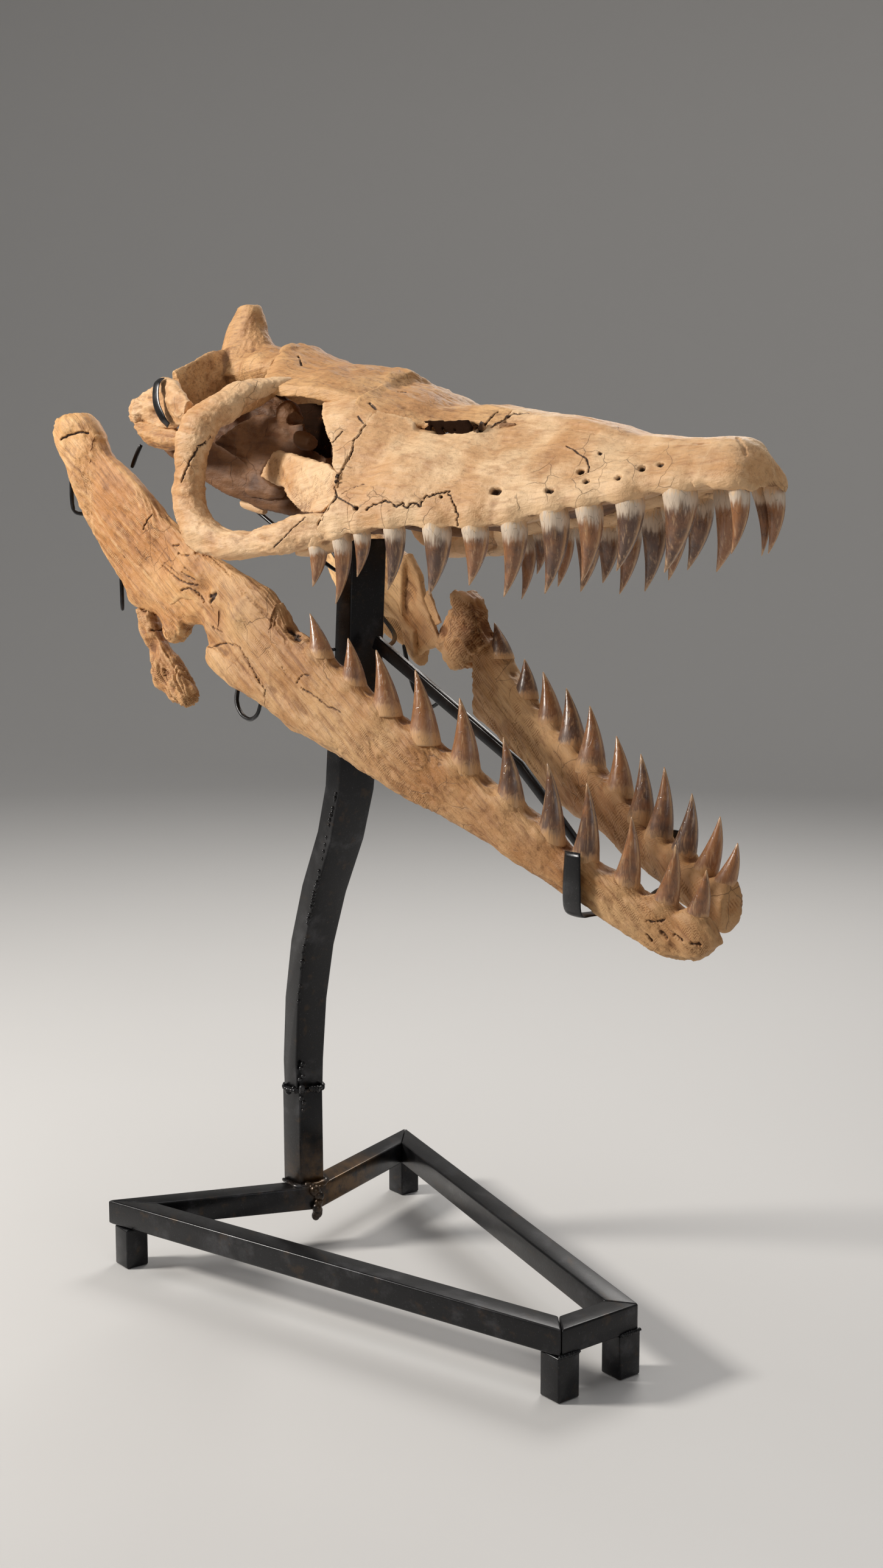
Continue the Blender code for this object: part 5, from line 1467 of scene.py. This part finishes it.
UPPER_ROWS = (
    (0.271, 0.038, 0.007, 0.0095), (0.3, 0.06, 0.008, 0.0095), (0.325, 0.04, 0.006, 0.0085),
    (0.364, 0.056, 0.008, 0.0105), (0.409, 0.059, 0.009, 0.0135), (0.447, 0.05, 0.006, 0.0125),
    (0.485, 0.062, 0.011, 0.012), (0.524, 0.068, 0.009, 0.013), (0.557, 0.062, 0.006, 0.012),
    (0.595, 0.058, 0.013, 0.0125), (0.639, 0.065, 0.014, 0.0145))
NOSE_ROWS = ((0.6725, 0.052, -0.004, 0.0065), (0.6925, 0.05, 0.005, 0.0085))
LOWER_ROWS = (
    (0.265, 0.033, 0.014, 0.0115), (0.308, 0.036, 0.005, 0.012), (0.35, 0.048, 0.013, 0.013),
    (0.391, 0.054, 0.01, 0.014), (0.431, 0.055, 0.004, 0.014), (0.48, 0.05, 0.007, 0.0125),
    (0.52, 0.058, 0.003, 0.012), (0.552, 0.062, -0.004, 0.0125), (0.592, 0.054, -0.008, 0.012),
    (0.628, 0.049, -0.014, 0.0115), (0.657, 0.038, -0.013, 0.0105))


# ---- cracks and holes --------------------------------------------------------------------------
THINNER, SHALLOWER, FAINT = 0.75, 0.8, 0.6  # width, depth and darkness of the small marks listed last


@dataclass
class Ageing:
    """Cracks, sutures and nerve holes, laid on the bones through the main view."""

    seeds: tuple[int, int] = (301, 303)
    holes: tuple[Mark, ...] = tuple(
        Mark(((x, y), (x + 2 * long, y + 1)), width, depth, 0.0012)
        for x, y, long, width, depth in (
            (583, 834, 1, 0.0022, 0.004), (722, 815, 1, 0.0014, 0.003), (810, 806, 4, 0.003, 0.006),
            (898, 804, 3, 0.0026, 0.005), (951, 775, 2, 0.0022, 0.0045), (960, 790, 1, 0.0022, 0.0045),
            (1013, 784, 1, 0.0024, 0.005), (1053, 769, 1, 0.0025, 0.005), (1082, 763, 2, 0.002, 0.004),
            (984, 745, 1, 0.0014, 0.002)))
    cracks: tuple[Mark, ...] = (
        Mark(((600, 697), (590, 712), (580, 725), (577, 742), (560, 775), (553, 788), (550, 800), (552, 815),
              (535, 840), (522, 862)), 0.0011, 0.0022, 0.002),
        Mark(((562, 708), (550, 722), (535, 735)), 0.0007, 0.0012),
        Mark(((550, 815), (566, 822), (583, 834)), 0.0008, 0.0014),
        Mark(((600, 838), (612, 830), (625, 825), (632, 824), (640, 822), (646, 829), (655, 830), (660, 824),
              (668, 832), (675, 826), (690, 830), (696, 820), (700, 815), (712, 813), (722, 808), (735, 808),
              (741, 818), (745, 830), (752, 845), (750, 862)), 0.0009, 0.0018, 0.0026),
        Mark(((500, 850), (480, 868), (465, 885), (450, 900)), 0.0007, 0.0012),
        Mark(((930, 733), (940, 738), (950, 745), (962, 752), (967, 765), (966, 775)), 0.0008, 0.0016),
        Mark(((345, 718), (338, 728), (325, 735), (320, 748), (310, 760), (303, 775), (298, 790)),
             0.001, 0.002, 0.002),
        Mark(((490, 585), (493, 592), (495, 600)), 0.0012, 0.0024),
        Mark(((607, 662), (612, 668), (617, 672)), 0.0012, 0.0016),
        Mark(((587, 683), (592, 689), (596, 694)), 0.0009, 0.0012),
        Mark(((250, 845), (241, 856), (235, 870)), 0.0008, 0.0014),
        Mark(((100, 722), (112, 716), (125, 712), (136, 709), (145, 711)), 0.0011, 0.002),
        Mark(((1211, 719), (1217, 728), (1222, 736), (1224, 745)), 0.0018, 0.0012, 0.001, 0.35),
        Mark(((791, 708), (801, 692), (817, 676)), 0.0012, 0.002, 0.002),
        Mark(((807, 701), (824, 692), (843, 680), (869, 679)), 0.001, 0.0016, 0.002),
        Mark(((827, 698), (865, 690), (914, 697), (978, 708)), 0.0042, 0.0012, 0.002, 0.25),
        Mark(((782, 705), (791, 704)), 0.0032, 0.007, 0.001),
        Mark(((653, 642), (666, 645)), 0.0012, 0.0016, 0.002),
        Mark(((560, 811), (579, 801), (599, 795)), 0.0006, 0.0008, 0.002, 0.6),
        Mark(((477, 1036), (491, 1047)), 0.005, 0.006, 0.002, 0.85),
        Mark(((343, 979), (354, 977), (346, 988)), 0.0022, 0.003, 0.002),
        Mark(((321, 906), (343, 914), (365, 928), (381, 950), (394, 971), (413, 988), (430, 1001),
              (446, 1020), (468, 1050), (476, 1064)), 0.0016, 0.001, 0.003, 0.35),
    ) + tuple(
        Mark(places, THINNER * width, SHALLOWER * depth, 0.002, FAINT) for width, depth, places in (
            (0.0011, 0.0018, ((284, 897), (294, 895))),
            (0.0012, 0.002, ((293, 909), (299, 913), (308, 912))),
            (0.001, 0.0014, ((302, 933), (310, 937))), (0.0009, 0.0014, ((270, 925), (294, 944))),
            (0.0013, 0.0022, ((267, 931), (297, 955), (324, 962))),
            (0.001, 0.0016, ((299, 941), (321, 954))),
            (0.0012, 0.002, ((299, 970), (310, 966), (327, 974), (335, 988))),
            (0.0009, 0.0014, ((348, 996), (350, 1004))), (0.0009, 0.0014, ((348, 1028), (365, 1039))),
            (0.0011, 0.0018, ((340, 1062), (354, 1061), (375, 1057), (392, 1062), (411, 1093), (424, 1118),
                              (435, 1134), (434, 1145))),
            (0.001, 0.0016, ((487, 1123), (492, 1112), (506, 1108))),
            (0.0011, 0.0018, ((495, 1131), (517, 1145), (538, 1161), (560, 1172))),
            (0.0009, 0.0012, ((462, 1096), (468, 1107))),
            (0.0013, 0.002, ((248, 1036), (270, 1034), (274, 1047))),
            (0.0016, 0.0024, ((1062, 1536), (1070, 1545))), (0.0015, 0.0022, ((1086, 1530), (1096, 1542))),
            (0.0017, 0.0024, ((1108, 1536), (1119, 1545))), (0.0015, 0.0022, ((1136, 1549), (1150, 1552))),
            (0.0013, 0.0018, ((1062, 1512), (1078, 1516), (1092, 1510))),
            (0.0007, 0.001, ((440, 760), (455, 772), (462, 800))),
            (0.0009, 0.0012, ((870, 1290), (900, 1310), (930, 1335)))))

    def lay(self, bones: Sequence[Fossil]) -> None:
        """Args: bones: which take every mark that falls on them, except the left side's bones other than its
        dentary.
        """
        points = np.vstack([bone.points for bone in bones])
        faces, start = [], 0
        for bone in bones:
            polygons = bone.obj.data.polygons
            corners = np.empty(len(bone.obj.data.loops), np.int32)
            bone.obj.data.loops.foreach_get("vertex_index", corners)
            ends = np.cumsum([polygon.loop_total for polygon in polygons])[:-1]
            faces += [list(part) for part in np.split(corners + start, ends)]
            start += len(bone.points)
        tree = BVHTree.FromPolygons([tuple(p) for p in points], faces)
        laid = [(mark, self.trace(mark, tree)) for mark in self.cracks + self.holes]
        laid = [(mark, places) for mark, places in laid if len(places)]
        every = np.vstack([places for _, places in laid])
        for bone in bones:
            if bone.name.endswith("_left") and "dentary" not in bone.name:
                continue
            bone.refine(every)
            for mark, places in laid:
                bone.carve(places, mark)

    def trace(self, mark: Mark, tree: BVHTree) -> np.ndarray:
        """Args: mark: to lay. tree: of the bones. Returns: (n, 3) places along it, close together."""
        hits = []
        seed_x, seed_y = self.seeds
        for (x0, y0), (x1, y1) in zip(mark.places, mark.places[1:]):
            for t in np.linspace(0, 1, max(int(math.hypot(x1 - x0, y1 - y0)), 2)):
                x, y = x0 + (x1 - x0) * t, y0 + (y1 - y0) * t
                x += mark.jag * PICTURE_SCALE * wander(x * 0.11 + y * 0.17, 1.0, seed_x)
                y += mark.jag * PICTURE_SCALE * wander(x * 0.13 - y * 0.12, 1.0, seed_y)
                hit = tree.ray_cast(Vector(VIEW.place), VIEW.ray(x, y))[0]
                if hit is not None:
                    hits.append(tuple(hit))
        return np.array(hits).reshape(-1, 3)


# ---- stand -------------------------------------------------------------------------------------
BAND_X = 0.556  # where the flat band carries both halves of the lower jaw


@dataclass
class Stand:
    """The welded steel stand: square tube base, post, arms, rods and hooks."""

    square_nodes: tuple[str, ...] = (
        "stand_rail_right", "stand_rail_left", "stand_cross", "stand_wing_left", "stand_wing_right",
        "stand_leg_rear_right", "stand_leg_front_right", "stand_leg_front_left", "stand_leg_rear_left",
        "stand_post_foot", "stand_post_bend", "stand_post_head", "stand_jaw_bar")
    edge: float = 0.0018
    weld: float = 0.0042
    base_top: float = 0.067
    base_under: float = 0.0425
    cradle: tuple = (
        (BAND_X, -0.062, 0.492, 0.0012, 0.0095), (BAND_X, -0.0625, 0.462, 0.0012, 0.011),
        (BAND_X, -0.06, 0.4405, 0.0012, 0.0105), (BAND_X, -0.044, 0.4375, 0.0012, 0.0085),
        (BAND_X, 0.0, 0.4375, 0.0012, 0.0075), (BAND_X, 0.03, 0.443, 0.0012, 0.0075),
        (BAND_X, 0.044, 0.448, 0.0012, 0.0075), (BAND_X, 0.06, 0.452, 0.0012, 0.0075),
        (BAND_X, 0.062, 0.47, 0.0012, 0.0075), (BAND_X, 0.0615, 0.498, 0.0012, 0.0065))
    strap: tuple = (
        (0.013, 0.124, 0.906, 0.001, 0.006), (0.0145, 0.1295, 0.901, 0.0011, 0.006),
        (0.016, 0.1322, 0.89, 0.0011, 0.006), (0.021, 0.1335, 0.878, 0.0011, 0.0058),
        (0.03, 0.1325, 0.866, 0.0011, 0.0055), (0.0345, 0.129, 0.859, 0.001, 0.005))

    def square(self, name: str) -> None:
        """Args: name: of a square node, rebuilt with rolled edges."""
        builder = self.merged(name)
        bmesh.ops.dissolve_limit(builder, angle_limit=math.radians(2.0), verts=builder.verts,
                                 edges=builder.edges)
        sharp = [edge for edge in builder.edges if len(edge.link_faces) == 2
                 and edge.calc_face_angle() > math.radians(40)]
        bmesh.ops.bevel(builder, geom=sharp, offset=self.edge, offset_type="OFFSET", affect="EDGES",
                        segments=3, profile=0.5, material=-1)
        obj = new_object(name + "_steel", builder)
        hand_over(obj, STEEL, [name])

    def merged(self, name: str) -> bmesh.types.BMesh:
        """Args: name: of a node. Returns: its mesh with doubles merged, in the mount's frame."""
        builder = bmesh.new()
        builder.from_mesh(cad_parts[name].data)
        bmesh.ops.remove_doubles(builder, verts=builder.verts, dist=0.00002)
        bmesh.ops.translate(builder, verts=builder.verts, vec=(-MOUNT_SHIFT, 0.0, 0.0))
        return builder

    def round_bar(self, name: str) -> None:
        """Args: name: of a rod's node, rebuilt smooth."""
        builder = self.merged(name)
        obj = new_object(name + "_steel", builder)
        rounder = obj.modifiers.new("round", "SUBSURF")
        rounder.levels = rounder.render_levels = 2
        settle(obj)
        hand_over(obj, STEEL, [name])

    def flat(self, name: str, stations: Sequence[Sequence[float]]) -> None:
        """Args: name: of a band's node. stations: rows of a point, half thickness and half width."""
        builder = bmesh.new()
        add_shell(builder, bar_rings(stations, up=(1.0, 0.0, 0.0), sides=16))
        hand_over(new_object(name + "_steel", builder), STEEL, [name])

    def bead(self, name: str, path: Sequence[Point], size: float) -> None:
        """Args: name: of the bead. path: where it runs. size: its half width. Lays a rippled weld."""
        steps = 10 if len(path) > 2 else 30
        stations = eased([(*p, size, size * 0.8) for p in path], steps)
        for i, row in enumerate(stations):
            ripple = 1 + 0.16 * math.sin(i * 1.9) + 0.18 * wander(i * 0.7, 1.0, 411)
            ripple *= math.sin(math.pi * min(max((i + 0.6) / len(stations), 0.02), 0.98)) ** 0.25
            row[3], row[4] = row[3] * ripple, row[4] * ripple
        rings = bar_rings(stations, up=(0.31, 0.22, 0.92), sides=12, steps=1)
        builder = bmesh.new()
        add_shell(builder, rings)
        hand_over(new_object(name, builder), STEEL, [])

    def blobs(self, name: str, path: Sequence[Point], size: float, count: int, loose: float) -> None:
        """Lays a run of weld blobs.

        Args:
            name: of the piece.
            path: where they run.
            size: radius of the widest.
            count: how many.
            loose: how far they stray.
        """
        rows = np.array(eased(path, 8))
        builder = bmesh.new()
        for i, place in enumerate(np.linspace(0, len(rows) - 1, count)):
            stray = [loose * wander(i * 1.7, 1.0, seed) for seed in (421, 423, 425)]
            middle = Matrix.Translation(Vector(rows[int(round(place))]) + Vector(stray))
            radius = size * (0.72 + 0.28 * wander(i * 2.3, 1.0, 427))
            made = bmesh.ops.create_icosphere(builder, subdivisions=3, radius=radius, matrix=middle)["verts"]
            bmesh.ops.scale(builder, verts=made, vec=(1.0, 1.0, 1.15), space=middle.inverted())
        hand_over(new_object(name, builder), STEEL, [])

    def build(self) -> None:
        """Builds every steel piece."""
        for name in self.square_nodes:
            self.square(name)
        self.flat("stand_front_cradle", self.cradle)
        for side in Side:
            self.flat(side.named("stand_strap"), [(x, y * side.value, *rest) for x, y, *rest in self.strap])
        for name in sorted(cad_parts):
            shaped = name in self.square_nodes or f"{name}_steel" in bpy.data.objects
            if name.startswith("stand_") and not shaped:
                self.round_bar(name)
        self.welds()

    def welds(self) -> None:
        """Lays the weld beads at the post, the corners and the legs."""
        z = self.base_top
        self.bead("weld_post_foot", [(0.054, -0.016, z), (0.087, -0.016, z), (0.087, 0.016, z),
                                     (0.054, 0.016, z)], self.weld)
        ring = [(0.071 + 0.019 * math.cos(turn), 0.02 * math.sin(turn), 0.171)
                for turn in np.linspace(0, 2 * math.pi, 13)]
        self.bead("weld_post_joint", ring, self.weld * 0.8)
        self.blobs("weld_notch", [(0.088, -0.01, z), (0.0975, -0.003, 0.062), (0.0985, -0.002, 0.045),
                                  (0.0965, -0.002, 0.036)], 0.0058, 16, 0.0028)
        self.blobs("weld_ring", ring[6:] + ring[:7], 0.004, 18, 0.003)
        self.blobs("weld_drips", [(0.086, -0.014, 0.2), (0.087, -0.014, 0.176), (0.085, -0.014, 0.15)],
                   0.0034, 9, 0.0035)
        self.blobs("weld_corner", [(0.0885, -0.0183, 0.269), (0.1035, -0.019, 0.337),
                                   (0.119, -0.0198, 0.379), (0.131, -0.0203, 0.407),
                                   (0.152, -0.0213, 0.463), (0.166, -0.0222, 0.496)],
                   0.0028, 34, 0.0012)
        for label, y in (("right", -0.0495), ("left", 0.0495)):
            for end, x in (("front", 0.531), ("rear", 0.506)):
                self.bead(f"weld_leg_{label}_{end}", [(x, y, self.base_under), (x, y * 0.5, self.base_under)],
                          self.weld * 0.6)


# ---- studio ------------------------------------------------------------------------------------
@dataclass
class Studio:
    """Plain pale floor, soft lights and the camera."""

    floor: Colour = (0.62, 0.61, 0.6, 1.0)
    middle: Point = (0.0, 0.0, 0.5)
    cove: float = 6.5
    sweep: float = 2.5
    height: float = 5.0
    sunk: float = 0.0002
    ambient: float = 0.15
    lamps: tuple = (("key", (-1.5, -2.1, 1.9), 0.6, 88.0, (1.0, 0.96, 0.9)),
                    ("fill", (3.0, -0.6, 1.2), 1.6, 9.0, (0.95, 0.97, 1.0)),
                    ("rim", (-1.2, 1.8, 2.2), 1.2, 26.0, (1.0, 0.97, 0.93)),
                    ("top", (0.0, 0.0, 4.6), 4.0, 64.0, (1.0, 1.0, 1.0)))

    def light(self, name: str, place: Point, size: float, power: float, tint: Point) -> None:
        """Args: name, place: of the softbox, which faces the mount. size, power, tint: its light."""
        data = bpy.data.lights.new(name, "AREA")
        data.shape, data.size, data.energy, data.color = "DISK", size, power, tint
        lamp = bpy.data.objects.new(name, data)
        lamp.location = place
        lamp.rotation_euler = (Vector(self.middle) - Vector(place)).to_track_quat("-Z", "Y").to_euler()
        bpy.context.scene.collection.objects.link(lamp)

    def build(self) -> None:
        """Adds the floor, the lights, the backdrop colour and the camera."""
        builder = bmesh.new()
        rim = [(self.cove - self.sweep + self.sweep * math.sin(a), self.sweep - self.sweep * math.cos(a))
               for a in np.linspace(0.0, math.pi / 2, 13)] + [(self.cove, self.height)]
        bmesh.ops.create_circle(builder, cap_ends=False, segments=96, radius=rim[0][0])
        edges = list(builder.edges)
        bmesh.ops.holes_fill(builder, edges=edges, sides=0)
        for (r0, z0), (r1, z1) in zip(rim, rim[1:]):
            edges = [item for item in bmesh.ops.extrude_edge_only(builder, edges=edges)["geom"]
                     if isinstance(item, bmesh.types.BMEdge) and len(item.link_faces) == 1]
            ring = {vert for edge in edges for vert in edge.verts}
            bmesh.ops.scale(builder, verts=list(ring), vec=(r1 / r0, r1 / r0, 1.0))
            bmesh.ops.translate(builder, verts=list(ring), vec=(0.0, 0.0, z1 - z0))
        floor = new_object("studio_floor", builder)
        floor.data.polygons.foreach_set("use_smooth", np.ones(len(floor.data.polygons), bool))
        floor.location.z = -self.sunk
        paint = Paint("pale_floor")
        grain = paint.noise(paint.place(), 3.0, 3.0)
        floor.data.materials.append(paint.feed(Base_Color=self.floor, Roughness=0.6 + (grain - 0.5) * 0.1))
        world = bpy.data.worlds.new("studio")
        world.use_nodes = True
        world.node_tree.nodes["Background"].inputs[0].default_value = (0.8, 0.8, 0.8, 1.0)
        world.node_tree.nodes["Background"].inputs[1].default_value = self.ambient
        bpy.context.scene.world = world
        bpy.context.scene.view_settings.view_transform = "Standard"
        for lamp in self.lamps:
            self.light(*lamp)
        VIEW.add_camera()


def main() -> None:
    """Builds the skull, the jaw, the teeth, the stand and the studio in order."""
    logging.basicConfig(level=logging.INFO, format="%(relativeCreated)6d ms %(name)s: %(message)s")
    Studio().build()
    bones: list[Fossil] = []
    rows: list[tuple[TeethRow, list[Crown]]] = []
    roof = SkullRoof()
    bones += [roof.premaxilla(), roof.frontal(), roof.parietal()]
    for side in Side:
        voxel = FINE if side is Side.RIGHT else COARSE
        jaw = Ramus(side, voxel)
        upper, lower = TeethRow("maxilla", side, UPPER_ROWS), TeethRow("dentary", side, LOWER_ROWS, True)
        nose = TeethRow("premaxilla", side, NOSE_ROWS if side is Side.LEFT else NOSE_ROWS[1:])
        rows += [(upper, upper.crowns()), (lower, lower.crowns(jaw)), (nose, nose.crowns())]
        bones += Cheek(side, voxel).bones(rows[-3][1])
        bones += [jaw.dentary(rows[-2][1])] + jaw.rear_bones()
    bones += Palate().bones() + [Hyoid().bone()]
    Ageing().lay(bones)
    for bone in bones:
        bone.complete()
    for row, crowns in rows:
        row.build(crowns)
    Stand().build()


if __name__ == "__main__":
    main()
